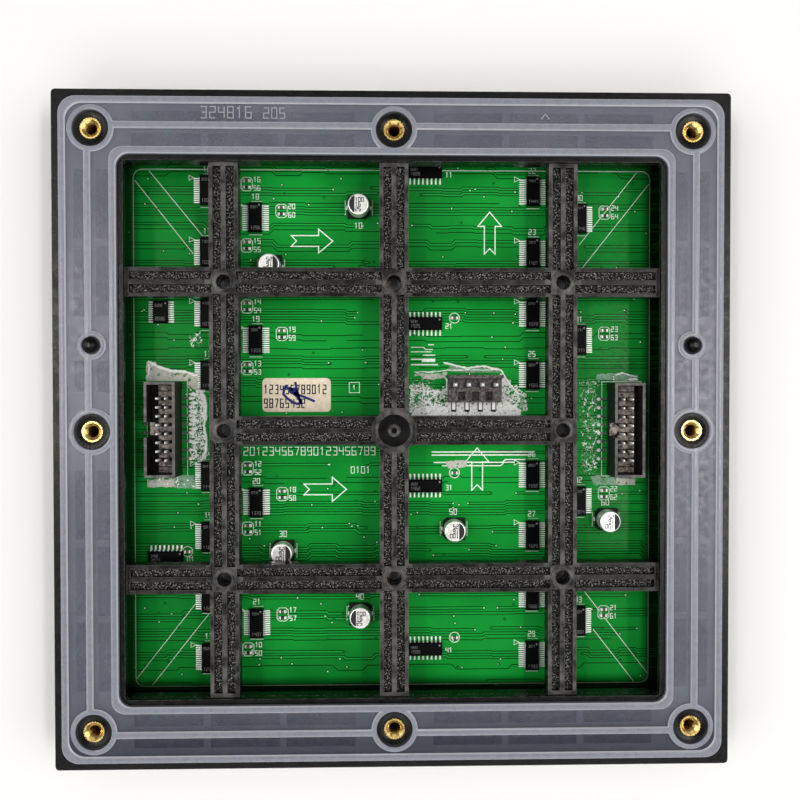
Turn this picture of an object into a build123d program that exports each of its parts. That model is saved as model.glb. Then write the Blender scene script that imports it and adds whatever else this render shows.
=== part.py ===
from build123d import *
import math
import os

# Rear view of a square outdoor display module, lying on its front face.
# Z points out of the back of the module. Z = 0 is the plane of the louvre tips.
# X and Y run along the sides, and the Z axis passes through the middle.

# Number of flats that stand for a round on small features that repeat
fine_flat_count = 14
coarse_flat_count = 10
hidden_flat_count = 8
corner_flat_count = 2

# Display grid. The lattice, the inserts and the pins stand between pixels of this grid.
pixel_pitch = 6.0
pixel_count = 32
column_pixel_count = 8
row_pixel_count = 7
insert_pixel_count = 14
pin_pixel_count = 4
module_side = pixel_pitch * pixel_count

# Heights of the layers, counted from the louvre tips
louvre_height = 1.4
mask_plate_thickness = 3.2
board_thickness = 1.6
rim_height_over_board = 13.4

z_mask = louvre_height
z_board_front = z_mask + mask_plate_thickness
z_board = z_board_front + board_thickness
z_rim = z_board + rim_height_over_board

# Front mask
mask_corner = 0.6
mask_slot_width = 3.2
mask_slot_end_margin = 2.2
louvre_thickness = 0.9
stud_diameter = 4.4
stud_rise_into_boss = 1.4
led_width = 2.7
led_depth = 1.9
led_stud_clearance = 0.2

# Circuit board
board_inset = 1.3
board_side = module_side - 2 * board_inset
board_corner = 0.8
board_hole_clearance = 0.2

# Rear case shell
case_front_inset = 0.3
case_back_inset = 0.9
case_front_side = module_side - 2 * case_front_inset
case_back_side = module_side - 2 * case_back_inset
case_corner = 1.0
board_side_clearance = 0.2
rim_width = 20.5
opening_side = module_side - 2 * rim_width
opening_corner = 0.8
lip_thickness = 1.8
lip_overhang_x = 2.7
lip_overhang_y = 0.3
window_reach_x = opening_side / 2 + lip_overhang_x
window_reach_y = opening_side / 2 + lip_overhang_y

# Lattice across the opening
lattice_depth = 5.0
column_pitch = column_pixel_count * pixel_pitch
row_pitch = row_pixel_count * pixel_pitch
bar_width = 8.2
bar_edge_rib = 1.1
bar_centre_rib = 1.4
channel_depth = 1.5
channel_end_margin = 1.0
channel_boss_gap = 0.15

# Screw bosses at the crossings, and the plain boss in the middle
boss_ring_diameter = 6.6
boss_ring_rise = 0.3
boss_column_side = 7.0
boss_bore_diameter = 4.2
screw_seat_height = 3.6
middle_boss_diameter = 12.5
middle_recess_diameter = 9.4
middle_recess_depth = 0.6
middle_pip_diameter = 3.5
middle_pip_bore = 1.8

# Mask screws
screw_shank_diameter = 2.4
screw_thread_clearance = 0.05
screw_length = 7.0
screw_tip_gap = 0.3
screw_head_diameter = 3.9
screw_head_height = 1.6

# Threaded inserts on the rim
insert_pitch = insert_pixel_count * pixel_pitch
insert_diameter = 6.0
insert_length = 8.0
insert_bore = 3.4
insert_rise = 0.3
insert_boss_diameter = 9.6
insert_boss_rise = 0.5
insert_inner_wall = 0.8
under_hollow_half = insert_pitch - insert_diameter / 2 - insert_inner_wall

# Weight-saving pockets in the rim, in two columns, between cross ribs
pocket_depth = 5.2
pocket_width = 3.5
pocket_inner_inset = 5.7
pocket_outer_inset = 11.8
pocket_inner_offset = opening_side / 2 + pocket_inner_inset
pocket_outer_offset = opening_side / 2 + pocket_outer_inset
pocket_rib = 2.0
pockets_per_half_side_count = 3
pocket_insert_gap = 10.0
pin_pad_half_length = 4.2

# Sealing gasket on the rim
gasket_outer_inset = 3.0
gasket_inner_inset = 1.5
gasket_outer = module_side - 2 * gasket_outer_inset
gasket_inner = opening_side + 2 * gasket_inner_inset
gasket_outer_corner = 4.8
gasket_inner_corner = 3.7
gasket_thickness = 0.8
gasket_lip_width = 2.2
gasket_lip_height = 0.6
gasket_total = gasket_thickness + gasket_lip_height
gasket_ring_wall = 1.5
gasket_hole_clearance = 0.3
pin_ring_wall = 1.6
gasket_pin_clearance = 0.1

# Locating pins on the left and right rims: a collar inside the gasket, then the pin
pin_y = pin_pixel_count * pixel_pitch
pin_collar_diameter = 4.8
pin_collar_over_gasket = 0.1
pin_diameter = 4.4
pin_straight_length = 1.0
pin_shoulder_diameter = 3.0
pin_shoulder_height = 0.8
pin_tip_diameter = 1.4
pin_tip_height = 0.6

# Places on the board are counted in pixels from the middle, as the layout follows the grid.

# Driver chips, with their long side along Y
driver_body = (3.9, 8.65, 1.5)
driver_edge = 0.25
driver_far_left = column_pitch + 6.8
driver_near_left = column_pitch - 7.4
driver_near_right = column_pitch - 6.7
driver_far_right = column_pitch + 7.3
driver_rows_close = (11.7, 8.68, 5.67, 2.65, -2.32, -5.3, -8.3, -11.3)
driver_rows_wide = (10.37, 4.37, -3.62, -9.6)

# Row driver chips, with their long side along X
row_chip_body = (9.9, 3.9, 1.5)
row_chip_x = 9.4
row_chip_rows = (12.63, 5.18, -2.83, -10.93)

# Two smaller chips beside the left data header
buffer_body = (4.4, 6.5, 1.1)
buffer_place = (-11.4, 5.75)
decoder_body = (9.9, 3.9, 1.5)
decoder_place = (-11.2, -6.32)

# Electrolytic capacitors
can_diameter = 6.3
can_height = 5.6
can_base_side = 6.6
can_base_height = 1.3
can_base_chamfer = 1.3
can_edge = 0.4
can_places = (
    (-1.7, 10.88), (-6.02, 7.98), (-5.45, -6.03),
    (-1.65, -9.17), (2.98, -4.97), (10.58, -4.53),
)

# Boxed data headers, two rows of eight posts
header_size = (8.8, 27.4, 9.1)
header_wall = 0.8
header_floor_height = 2.6
header_standoff = 0.7
header_foot_length = 2.4
header_post_pitch = 2.54
header_posts_per_row = 8
header_post_width = 0.64
header_post_top = 7.8
header_lead_reach = 3.6
header_lead_thickness = 0.5
header_key_width = 4.4
header_left_gap = 7.0
header_right_gap = 5.7
header_left_x = header_left_gap + header_size[0] / 2 - window_reach_x
header_right_x = window_reach_x - header_right_gap - header_size[0] / 2
header_places = ((header_left_x, 0.2), (header_right_x, -0.2))

# Four-way power header, opening towards +Y
power_place = (3.97, 1.97)
power_size = (15.6, 8.0, 4.6)
power_back_wall = (1.0, 8.4)
power_ways = 4
power_pitch = 3.96
power_post_width = 1.14
power_post_top = 7.4
power_post_offset = 1.2
power_well = (2.2, 2.6, 2.2)
power_lead_reach = 2.7
power_lead_thickness = 0.5

# Small chip capacitors and resistors, stacked in pairs beside the drivers
chip_size = (1.6, 0.8, 0.7)
chip_pair_gap = 1.9
chip_pair_places = (
    (-7.2, 12.03), (-7.2, 9.02), (-5.5, 10.72), (-7.2, 6.03), (-5.5, 4.68),
    (-7.2, 3.0), (-7.2, -1.95), (-5.5, -3.23), (-7.2, -4.93), (-5.5, -9.2),
    (-7.2, -10.92), (10.48, 10.7), (10.48, 4.7), (10.48, -3.25), (10.48, -9.2),
)
lone_chip_places = ((3.02, 5.47), (3.02, -2.2), (3.02, -10.4), (-10.17, -6.05))

# Paper label on the board
label_size = (20.2, 10.0, 0.15)
label_place = (-4.78, 1.67)


def soft_square(side, corner, flats=corner_flat_count):
    """Outline of a square whose rounded corners are made of a few flats each."""
    points = []
    centre = side / 2 - corner
    for quarter in range(4):
        turn = quarter * math.pi / 2
        for step in range(flats + 1):
            angle = turn + step * math.pi / 2 / flats
            cx = centre if quarter in (0, 3) else -centre
            cy = centre if quarter in (0, 1) else -centre
            points.append((cx + corner * math.cos(angle), cy + corner * math.sin(angle)))
    return make_face(Polyline(*points, close=True))


def plate(side, corner, z, height, flats=corner_flat_count):
    """A square plate with softened corners, standing on height z."""
    return extrude(Plane.XY.offset(z) * soft_square(side, corner, flats), amount=height)


def block(width, depth, height, x, y, z):
    """A box centred on x and y, standing on height z."""
    base = (Align.CENTER, Align.CENTER, Align.MIN)
    return Pos(x, y, z) * Box(width, depth, height, align=base)


def disc(diameter, height, x, y, z):
    """A cylinder centred on x and y, standing on height z."""
    base = (Align.CENTER, Align.CENTER, Align.MIN)
    return Pos(x, y, z) * Cylinder(diameter / 2, height, align=base)


def flatted_disc(diameter, height, x, y, z, flats=fine_flat_count):
    """A round boss or hole made of equal flats, standing on height z."""
    corner_radius = diameter / 2 / math.cos(math.pi / flats / 2)
    face = Pos(x, y, z) * RegularPolygon(corner_radius, flats)
    return extrude(face, amount=height)


def frame_ring(outer, inner, outer_corner, inner_corner, z, height):
    """A square ring with softened corners, standing on height z."""
    return plate(outer, outer_corner, z, height) - plate(inner, inner_corner, z, height)


def on_board(place):
    """Turns a place counted in pixels into millimetres."""
    return place[0] * pixel_pitch, place[1] * pixel_pitch


def insert_places():
    """Corners and side middles of the square of threaded inserts."""
    steps = (-insert_pitch, 0.0, insert_pitch)
    return [(x, y) for x in steps for y in steps if (x, y) != (0.0, 0.0)]


def pin_places():
    return [(-insert_pitch, pin_y), (insert_pitch, pin_y)]


def screw_places():
    """Lattice crossings, apart from the one in the middle."""
    columns = (-column_pitch, 0.0, column_pitch)
    rows = (-row_pitch, 0.0, row_pitch)
    return [(x, y) for x in columns for y in rows if (x, y) != (0.0, 0.0)]


def row_spans(column):
    """Y limits of the windows in one column, where 0 and 3 are the outer columns."""
    half = bar_width / 2
    if column in (0, 3):
        edges = (-row_pitch, row_pitch)
    else:
        edges = (-row_pitch, 0.0, row_pitch)
    starts = [-window_reach_y] + [edge + half for edge in edges]
    ends = [edge - half for edge in edges] + [window_reach_y]
    return list(zip(starts, ends))


def column_spans():
    half = bar_width / 2
    bars = (-column_pitch, 0.0, column_pitch)
    starts = [-window_reach_x] + [bar + half for bar in bars]
    ends = [bar - half for bar in bars] + [window_reach_x]
    return list(zip(starts, ends))


z_lattice = z_rim - lip_thickness
z_lattice_under = z_lattice - lattice_depth
z_screw_seat = z_board + screw_seat_height


def lattice_windows():
    """Openings between the bars."""
    cutters = []
    for column, (x0, x1) in enumerate(column_spans()):
        for y0, y1 in row_spans(column):
            centre = ((x0 + x1) / 2, (y0 + y1) / 2)
            cutters.append(block(x1 - x0, y1 - y0, lattice_depth, *centre, z_lattice_under))
    return cutters


def channel_pair(start, end, across, along_x):
    """Two long grooves beside the centre rib of a bar."""
    width = (bar_width - 2 * bar_edge_rib - bar_centre_rib) / 2
    offset = (bar_centre_rib + width) / 2
    length = end - start
    middle = (start + end) / 2
    z = z_lattice - channel_depth
    grooves = []
    for side in (-offset, offset):
        if along_x:
            grooves.append(block(length, width, channel_depth, middle, across + side, z))
        else:
            grooves.append(block(width, length, channel_depth, across + side, middle, z))
    return grooves


def bar_channels():
    """Grooves along every bar, from crossing to crossing and up to the lip."""
    ring = boss_ring_diameter / 2 + channel_boss_gap
    reach = opening_side / 2 - channel_end_margin
    middle = middle_boss_diameter / 2 + channel_boss_gap
    grooves = []
    for x in (-column_pitch, 0.0, column_pitch):
        centre_end = middle if x == 0.0 else ring
        for sign in (-1, 1):
            spans = ((centre_end, row_pitch - ring), (row_pitch + ring, reach))
            for near, far in spans:
                low, high = sorted((sign * near, sign * far))
                grooves += channel_pair(low, high, x, along_x=False)
    for y in (-row_pitch, 0.0, row_pitch):
        for sign in (-1, 1):
            near_end = middle if y == 0.0 else ring
            spans = [(near_end, column_pitch - ring)]
            if y != 0.0:
                spans.append((column_pitch + ring, reach))
            for near, far in spans:
                low, high = sorted((sign * near, sign * far))
                grooves += channel_pair(low, high, y, along_x=True)
    return grooves


def rim_pockets():
    """Pockets along the four sides of the rim, left solid round the pins and inserts."""
    cutters = []
    z = z_rim - pocket_depth
    step = (insert_pitch - 2 * pocket_insert_gap) / pockets_per_half_side_count
    length = step - pocket_rib
    for offset in (pocket_inner_offset, pocket_outer_offset):
        for index in range(pockets_per_half_side_count):
            for way in (-1, 1):
                middle = way * (pocket_insert_gap + (index + 0.5) * step)
                for side in (-1, 1):
                    cutters.append(block(length, pocket_width, pocket_depth, middle, side * offset, z))
                    span = side_pocket_span(middle - length / 2, middle + length / 2)
                    size = span[1] - span[0]
                    place = (span[0] + span[1]) / 2
                    cutters.append(block(pocket_width, size, pocket_depth, side * offset, place, z))
    return cutters


def side_pocket_span(low, high):
    """Shortens a pocket on the left or right side where the locating pin stands."""
    if low < pin_y < high:
        return low, pin_y - pin_pad_half_length
    return low, high


def locating_pin(x, y):
    """Collar, straight pin, tapered shoulder and a blunt, almost domed tip."""
    base = (Align.CENTER, Align.CENTER, Align.MIN)
    collar_height = gasket_total + pin_collar_over_gasket
    shoulder_z = collar_height + pin_straight_length
    pin = flatted_disc(pin_collar_diameter, collar_height, 0, 0, 0)
    pin += disc(pin_diameter, pin_straight_length, 0, 0, collar_height)
    shoulder = Cone(pin_diameter / 2, pin_shoulder_diameter / 2, pin_shoulder_height, align=base)
    tip = Cone(pin_shoulder_diameter / 2, pin_tip_diameter / 2, pin_tip_height, align=base)
    pin += Pos(0, 0, shoulder_z) * shoulder
    pin += Pos(0, 0, shoulder_z + pin_shoulder_height) * tip
    return Pos(x, y, z_rim) * pin


def make_rear_case():
    """One moulding: tray, rim, lip, lattice, screw bosses, insert bosses and pins."""
    front = Plane.XY.offset(z_board_front) * soft_square(case_front_side, case_corner)
    back = Plane.XY.offset(z_rim) * soft_square(case_back_side, case_corner)
    shell = loft([front, back], ruled=True)
    recess_side = board_side + 2 * board_side_clearance
    shell -= block(recess_side, recess_side, board_thickness, 0, 0, z_board_front)
    hollow_height = z_lattice_under - z_board
    shell -= block(2 * under_hollow_half, 2 * under_hollow_half, hollow_height, 0, 0, z_board)
    shell -= plate(opening_side, opening_corner, z_lattice, lip_thickness)
    shell -= lattice_windows()
    column = (boss_column_side, boss_column_side, hollow_height)
    shell += [block(*column, x, y, z_board) for x, y in screw_places()]
    shell -= bar_channels()
    shell += [flatted_disc(boss_ring_diameter, boss_ring_rise, x, y, z_lattice) for x, y in screw_places()]
    shell += flatted_disc(middle_boss_diameter, lattice_depth + boss_ring_rise, 0, 0, z_lattice_under)
    shell -= screw_bores()
    shell -= middle_boss_recess()
    shell -= rim_pockets()
    shell += [flatted_disc(insert_boss_diameter, insert_boss_rise, x, y, z_rim) for x, y in insert_places()]
    seat = insert_seat()
    depth = insert_length
    shell -= [flatted_disc(insert_diameter, depth, x, y, seat, coarse_flat_count) for x, y in insert_places()]
    shell += [locating_pin(x, y) for x, y in pin_places()]
    return shell


def insert_seat():
    """Height of the floor that the inserts are pressed down to."""
    return z_rim + insert_boss_rise + insert_rise - insert_length


def screw_bores():
    """A seat for the mask stud, a clearance hole, and a bore that takes the screw head."""
    stud_bore = stud_diameter + 2 * board_hole_clearance
    shank_bore = screw_shank_diameter + 2 * board_hole_clearance
    head_bore_height = z_rim - z_screw_seat
    bores = []
    for x, y in screw_places():
        bores.append(flatted_disc(stud_bore, stud_rise_into_boss, x, y, z_board, hidden_flat_count))
        bores.append(flatted_disc(shank_bore, screw_seat_height, x, y, z_board, hidden_flat_count))
        head_bore = (boss_bore_diameter, head_bore_height, x, y, z_screw_seat)
        bores.append(flatted_disc(*head_bore, coarse_flat_count))
    return bores


def middle_boss_recess():
    """A shallow round dish with a small raised pip and a pin hole in it."""
    top = z_lattice + boss_ring_rise
    floor = top - middle_recess_depth
    dish = flatted_disc(middle_recess_diameter, middle_recess_depth, 0, 0, floor)
    dish -= flatted_disc(middle_pip_diameter, middle_recess_depth, 0, 0, floor, coarse_flat_count)
    hole_floor = floor - middle_recess_depth
    hole = flatted_disc(middle_pip_bore, 2 * middle_recess_depth, 0, 0, hole_floor, coarse_flat_count)
    return [dish, hole]


def make_gasket():
    """A flat frame with three raised lips and a raised ring round every insert and pin."""
    corners = (gasket_outer_corner, gasket_inner_corner)
    sheet = frame_ring(gasket_outer, gasket_inner, *corners, z_rim, gasket_thickness)
    z = z_rim + gasket_thickness
    step = 2 * gasket_lip_width
    middle = (gasket_outer + gasket_inner) / 2
    middle_corner = (gasket_outer_corner + gasket_inner_corner) / 2
    lips = [
        (gasket_outer, gasket_outer - step, gasket_outer_corner),
        (middle + gasket_lip_width, middle - gasket_lip_width, middle_corner),
        (gasket_inner + step, gasket_inner, gasket_inner_corner + gasket_lip_width),
    ]
    for outer, inner, corner in lips:
        sheet += frame_ring(outer, inner, corner, corner - gasket_lip_width, z, gasket_lip_height)
    insert_hole = insert_boss_diameter + 2 * gasket_hole_clearance
    insert_ring = insert_hole + 2 * gasket_ring_wall
    pin_hole = pin_collar_diameter + 2 * gasket_pin_clearance
    pin_ring = pin_hole + 2 * pin_ring_wall
    sheet += [flatted_disc(insert_ring, gasket_lip_height, x, y, z) for x, y in insert_places()]
    sheet += [flatted_disc(pin_ring, gasket_lip_height, x, y, z) for x, y in pin_places()]
    sheet -= [flatted_disc(insert_hole, gasket_total, x, y, z_rim) for x, y in insert_places()]
    sheet -= [flatted_disc(pin_hole, gasket_total, x, y, z_rim) for x, y in pin_places()]
    return sheet


def make_insert(x, y):
    """A brass bush with flats all round it, like its knurl, and a round bore."""
    bush = flatted_disc(insert_diameter, insert_length, x, y, insert_seat(), coarse_flat_count)
    return bush - disc(insert_bore, insert_length, x, y, insert_seat())


def make_inserts():
    return Compound(children=[make_insert(x, y) for x, y in insert_places()])


def make_board():
    board = plate(board_side, board_corner, z_board_front, board_thickness, flats=1)
    hole = stud_diameter + 2 * board_hole_clearance
    for x, y in screw_places():
        board -= flatted_disc(hole, board_thickness, x, y, z_board_front, hidden_flat_count)
    return board


def row_centre(index):
    return (index - (pixel_count - 1) / 2) * pixel_pitch


def make_front_mask():
    """Face plate with a slot for each pixel row, a louvre above each slot, and screw studs."""
    mask = plate(module_side, mask_corner, z_mask, mask_plate_thickness, flats=1)
    slot_length = module_side - 2 * mask_slot_end_margin
    for index in range(pixel_count):
        y = row_centre(index)
        mask -= block(slot_length, mask_slot_width, mask_plate_thickness, 0, y, z_mask)
        louvre_y = y + (mask_slot_width + louvre_thickness) / 2
        mask += block(slot_length, louvre_thickness, louvre_height, 0, louvre_y, 0)
    stud_height = z_board + stud_rise_into_boss - z_mask
    pilot = screw_shank_diameter + 2 * screw_thread_clearance
    pilot_floor = z_screw_seat - screw_length - screw_tip_gap
    pilot_depth = z_mask + stud_height - pilot_floor
    for x, y in screw_places():
        mask += flatted_disc(stud_diameter, stud_height, x, y, z_mask, hidden_flat_count)
        mask -= flatted_disc(pilot, pilot_depth, x, y, pilot_floor, hidden_flat_count)
    return mask


def make_led_rows():
    """One strip of light emitters per pixel row, soldered to the board, with gaps at the studs."""
    length = module_side - 2 * mask_slot_end_margin - (mask_slot_width - led_width)
    z = z_board_front - led_depth
    notch = stud_diameter + 2 * led_stud_clearance
    reach = (led_width + notch) / 2
    strips = []
    for index in range(pixel_count):
        row_y = row_centre(index)
        strip = block(length, led_width, led_depth, 0, row_y, z)
        near = [(x, y) for x, y in screw_places() if abs(y - row_y) < reach]
        if near:
            strip -= [block(notch, notch, led_depth, x, y, z) for x, y in near]
        strips.append(strip)
    return Compound(children=strips)


def make_screw(x, y):
    """A pan-head screw, its seat on the floor of the boss."""
    shank_z = z_screw_seat - screw_length
    shank = flatted_disc(screw_shank_diameter, screw_length, x, y, shank_z, hidden_flat_count)
    return shank + flatted_disc(screw_head_diameter, screw_head_height, x, y, z_screw_seat, coarse_flat_count)


def make_screws():
    return Compound(children=[make_screw(x, y) for x, y in screw_places()])


def chip_body(size, x, y):
    """A moulded chip body with bevelled top edges, standing on the board."""
    body = block(*size, 0, 0, 0)
    body = chamfer(body.edges().group_by(Axis.Z)[-1], driver_edge)
    return Pos(x, y, z_board) * body


def make_capacitor(x, y):
    """A round can with a rolled edge on a square base that has two cut corners."""
    base = block(can_base_side, can_base_side, can_base_height, 0, 0, 0)
    corners = base.edges().filter_by(Axis.Z).group_by(Axis.X)[-1]
    base = chamfer(corners, can_base_chamfer)
    can = flatted_disc(can_diameter, can_height - can_base_height, 0, 0, can_base_height)
    can = chamfer(can.edges().group_by(Axis.Z)[-1], can_edge)
    return Pos(x, y, z_board) * (base + can)


def header_post_rows():
    """Places of the posts in one data header, and the side that each lead goes to."""
    places = []
    for side in (-1, 1):
        for index in range(header_posts_per_row):
            along = (index - (header_posts_per_row - 1) / 2) * header_post_pitch
            places.append((side * header_post_pitch / 2, along, side))
    return places


def make_header_housing(x, y):
    """An open shroud on two end feet, with a key slot in its left wall."""
    width, length, height = header_size
    body = block(width, length, height - header_standoff, 0, 0, header_standoff)
    cavity_height = height - header_floor_height
    body -= block(width - 2 * header_wall, length - 2 * header_wall, cavity_height, 0, 0, header_floor_height)
    key_x = -(width - header_wall) / 2
    body -= block(header_wall, header_key_width, cavity_height, key_x, 0, header_floor_height)
    foot_y = (length - header_foot_length) / 2
    for side in (-1, 1):
        body += block(width, header_foot_length, header_standoff, 0, side * foot_y, 0)
    for post_x, post_y, _ in header_post_rows():
        body -= block(header_post_width, header_post_width, header_floor_height, post_x, post_y, 0)
    return Pos(x, y, z_board) * body


def make_header_posts(x, y):
    """Square posts bent outwards under the shroud to surface pads."""
    reach = header_size[0] / 2 + header_lead_reach
    posts = []
    for post_x, post_y, side in header_post_rows():
        post = block(header_post_width, header_post_width, header_post_top, post_x, post_y, 0)
        inner = abs(post_x) - header_post_width / 2
        foot_length = reach - inner
        foot_x = side * (inner + foot_length / 2)
        post += block(foot_length, header_post_width, header_lead_thickness, foot_x, post_y, 0)
        posts.append(Pos(x, y, z_board) * post)
    return Compound(children=posts)


def power_post_columns():
    return [(index - (power_ways - 1) / 2) * power_pitch for index in range(power_ways)]


def make_power_housing(x, y):
    """A low block with a tall back wall, wells between the ways and a slot for each post."""
    width, depth, height = power_size
    wall, wall_height = power_back_wall
    body = block(width, depth, height, 0, 0, 0)
    body += block(width, wall, wall_height, 0, (depth - wall) / 2, 0)
    well_x, well_y, well_depth = power_well
    well_place = -(depth - well_y) / 2 + power_post_width / 2
    columns = power_post_columns()
    for left, right in zip(columns[:-1], columns[1:]):
        middle = (left + right) / 2
        body -= block(well_x, well_y, well_depth, middle, well_place, height - well_depth)
    for column in columns:
        body -= block(power_post_width, power_post_width, height, column, power_post_offset, 0)
        lead_length = depth / 2 + power_post_offset
        lead_y = power_post_offset - lead_length / 2
        body -= block(power_post_width, lead_length, power_lead_thickness, column, lead_y, 0)
    return Pos(x, y, z_board) * body


def make_power_posts(x, y):
    depth = power_size[1]
    posts = []
    for column in power_post_columns():
        post = block(power_post_width, power_post_width, power_post_top, column, power_post_offset, 0)
        start = power_post_offset + power_post_width / 2
        length = start + depth / 2 + power_lead_reach
        post += block(power_post_width, length, power_lead_thickness, column, start - length / 2, 0)
        posts.append(Pos(x, y, z_board) * post)
    return Compound(children=posts)


def chips_at(places):
    """Small chips whose places are in millimetres."""
    return Compound(children=[block(*chip_size, x, y, z_board) for x, y in places])


def stacked_chips(shift):
    """Places of one chip of every stacked pair, moved along Y from the middle of the pair."""
    centres = [on_board(place) for place in chip_pair_places]
    return [(x, y + shift) for x, y in centres]


def make_label():
    return block(*label_size, *on_board(label_place), z_board)


def driver_places():
    """Places of the 24 driver chips, column by column from the left."""
    places = []
    columns = (
        (-driver_far_left, driver_rows_close), (-driver_near_left, driver_rows_wide),
        (driver_near_right, driver_rows_close), (driver_far_right, driver_rows_wide),
    )
    for x, rows in columns:
        places += [(x, row * pixel_pitch) for row in rows]
    return places


def build_nodes():
    half_gap = chip_pair_gap / 2
    lone_chips = [on_board(place) for place in lone_chip_places]
    power_centre = on_board(power_place)
    nodes = {
        "rear_case": make_rear_case(),
        "seal_gasket": make_gasket(),
        "threaded_inserts": make_inserts(),
        "circuit_board": make_board(),
        "front_mask": make_front_mask(),
        "led_rows": make_led_rows(),
        "mask_screws": make_screws(),
        "buffer_chip": chip_body(buffer_body, *on_board(buffer_place)),
        "decoder_chip": chip_body(decoder_body, *on_board(decoder_place)),
        "power_header_housing": make_power_housing(*power_centre),
        "power_header_posts": make_power_posts(*power_centre),
        "chip_capacitors": chips_at(stacked_chips(half_gap) + lone_chips),
        "chip_resistors": chips_at(stacked_chips(-half_gap)),
        "paper_label": make_label(),
    }
    for index, (x, y) in enumerate(driver_places(), start=1):
        nodes[f"driver_chip_{index:02d}"] = chip_body(driver_body, x, y)
    for index, row in enumerate(row_chip_rows, start=1):
        nodes[f"row_chip_{index}"] = chip_body(row_chip_body, row_chip_x, row * pixel_pitch)
    for index, place in enumerate(can_places, start=1):
        nodes[f"capacitor_{index}"] = make_capacitor(*on_board(place))
    for side, place in zip(("left", "right"), header_places):
        nodes[f"data_header_{side}_housing"] = make_header_housing(*place)
        nodes[f"data_header_{side}_posts"] = make_header_posts(*place)
    return nodes


os.makedirs("parts", exist_ok=True)
for name, shape in build_nodes().items():
    export_step(shape, f"parts/{name}.step")
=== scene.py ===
import math
import random

import bmesh
import bpy
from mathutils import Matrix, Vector


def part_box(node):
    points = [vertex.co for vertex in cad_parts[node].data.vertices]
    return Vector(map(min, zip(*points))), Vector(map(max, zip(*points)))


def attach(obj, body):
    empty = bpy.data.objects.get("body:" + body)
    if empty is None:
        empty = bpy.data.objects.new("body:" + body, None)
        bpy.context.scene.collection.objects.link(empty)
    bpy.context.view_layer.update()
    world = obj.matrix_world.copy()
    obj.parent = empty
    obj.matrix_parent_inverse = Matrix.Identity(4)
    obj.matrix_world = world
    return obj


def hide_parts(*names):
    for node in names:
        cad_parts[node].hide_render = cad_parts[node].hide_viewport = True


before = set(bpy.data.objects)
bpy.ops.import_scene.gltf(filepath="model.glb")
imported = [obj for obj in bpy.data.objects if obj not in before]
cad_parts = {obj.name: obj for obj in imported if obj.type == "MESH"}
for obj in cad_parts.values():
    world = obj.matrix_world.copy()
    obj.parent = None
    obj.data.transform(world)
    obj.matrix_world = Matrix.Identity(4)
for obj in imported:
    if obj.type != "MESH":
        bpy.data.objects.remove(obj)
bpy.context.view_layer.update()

# All sizes below are in millimetres, and MM turns them into metres.
MM = 0.001


# Places and heights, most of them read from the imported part

def cad_box(node):
    """Lowest and highest corner of a node, in millimetres."""
    low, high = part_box(node)
    return low / MM, high / MM


def middle(node):
    low, high = cad_box(node)
    return (low + high) / 2


def round_the_middle(reach_x, reach_y):
    """Eight places of a grid of three by three, all but the one in the middle."""
    places = [(x, y) for x in (-reach_x, 0.0, reach_x) for y in (-reach_y, 0.0, reach_y)]
    return [place for place in places if place != (0.0, 0.0)]


BOARD_LOW, BOARD_HIGH = cad_box("circuit_board")
BOARD_Z = BOARD_HIGH.z
MASK_LOW, MASK_HIGH = cad_box("front_mask")
GASKET_LOW, GASKET_HIGH = cad_box("seal_gasket")
GASKET_WIDTH = 16.0
RIM_Z = GASKET_LOW.z
LATTICE_Z = RIM_Z - 1.8
CHANNEL_Z = LATTICE_Z - 1.5
BAR_PLACES = (-48.0, 0.0, 48.0)
OPENING_REACH = 77.5
INSERT_LOW, INSERT_HIGH = cad_box("threaded_inserts")
INSERT_PLACES = round_the_middle(84.0, 84.0)
PIN_PLACES = [(-84.0, 24.0), (84.0, 24.0)]
SCREW_PLACES = round_the_middle(48.0, 42.0)
HEADER_TOP = cad_box("data_header_left_housing")[1].z
DRIVERS = [f"driver_chip_{index:02d}" for index in range(1, 25)]
ROW_CHIPS = [f"row_chip_{index}" for index in range(1, 5)]
ALL_CHIPS = DRIVERS + ROW_CHIPS + ["buffer_chip", "decoder_chip"]
CANS = [f"capacitor_{index}" for index in range(1, 7)]
HEADERS = ["data_header_left", "data_header_right"]


# Outlines and meshes

def circle(radius, x=0.0, y=0.0, steps=32, start=0.0):
    angles = [start + 2 * math.pi * i / steps for i in range(steps)]
    return [(x + radius * math.cos(a), y + radius * math.sin(a)) for a in angles]


def rounded_square(half, radius, steps=10):
    """Outline of a square with round corners."""
    points = []
    for quarter, (sx, sy) in enumerate(((1, 1), (-1, 1), (-1, -1), (1, -1))):
        centre = (sx * (half - radius), sy * (half - radius))
        for step in range(steps + 1):
            angle = (quarter + step / steps) * math.pi / 2
            points.append((centre[0] + radius * math.cos(angle), centre[1] + radius * math.sin(angle)))
    return points


def rectangle(x, y, width, depth, cut=0.0):
    """Outline of a rectangle. Its corners are cut off if cut is given."""
    half_x, half_y = width / 2, depth / 2
    points = []
    for sx, sy in ((1, -1), (1, 1), (-1, 1), (-1, -1)):
        ends = [(x + sx * (half_x - cut), y + sy * half_y), (x + sx * half_x, y + sy * (half_y - cut))]
        points += ends if sx * sy < 0 else ends[::-1]
    return points if cut else points[::2]


def raised(outline, z):
    return [(x, y, z) for x, y in outline]


def split(a, b, longest, least=1):
    """Points from a up to b, without b, no farther apart than about longest."""
    count = max(least, int(math.dist(a, b) / longest))
    return [(a[0] + (b[0] - a[0]) * i / count, a[1] + (b[1] - a[1]) * i / count) for i in range(count)]


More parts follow.
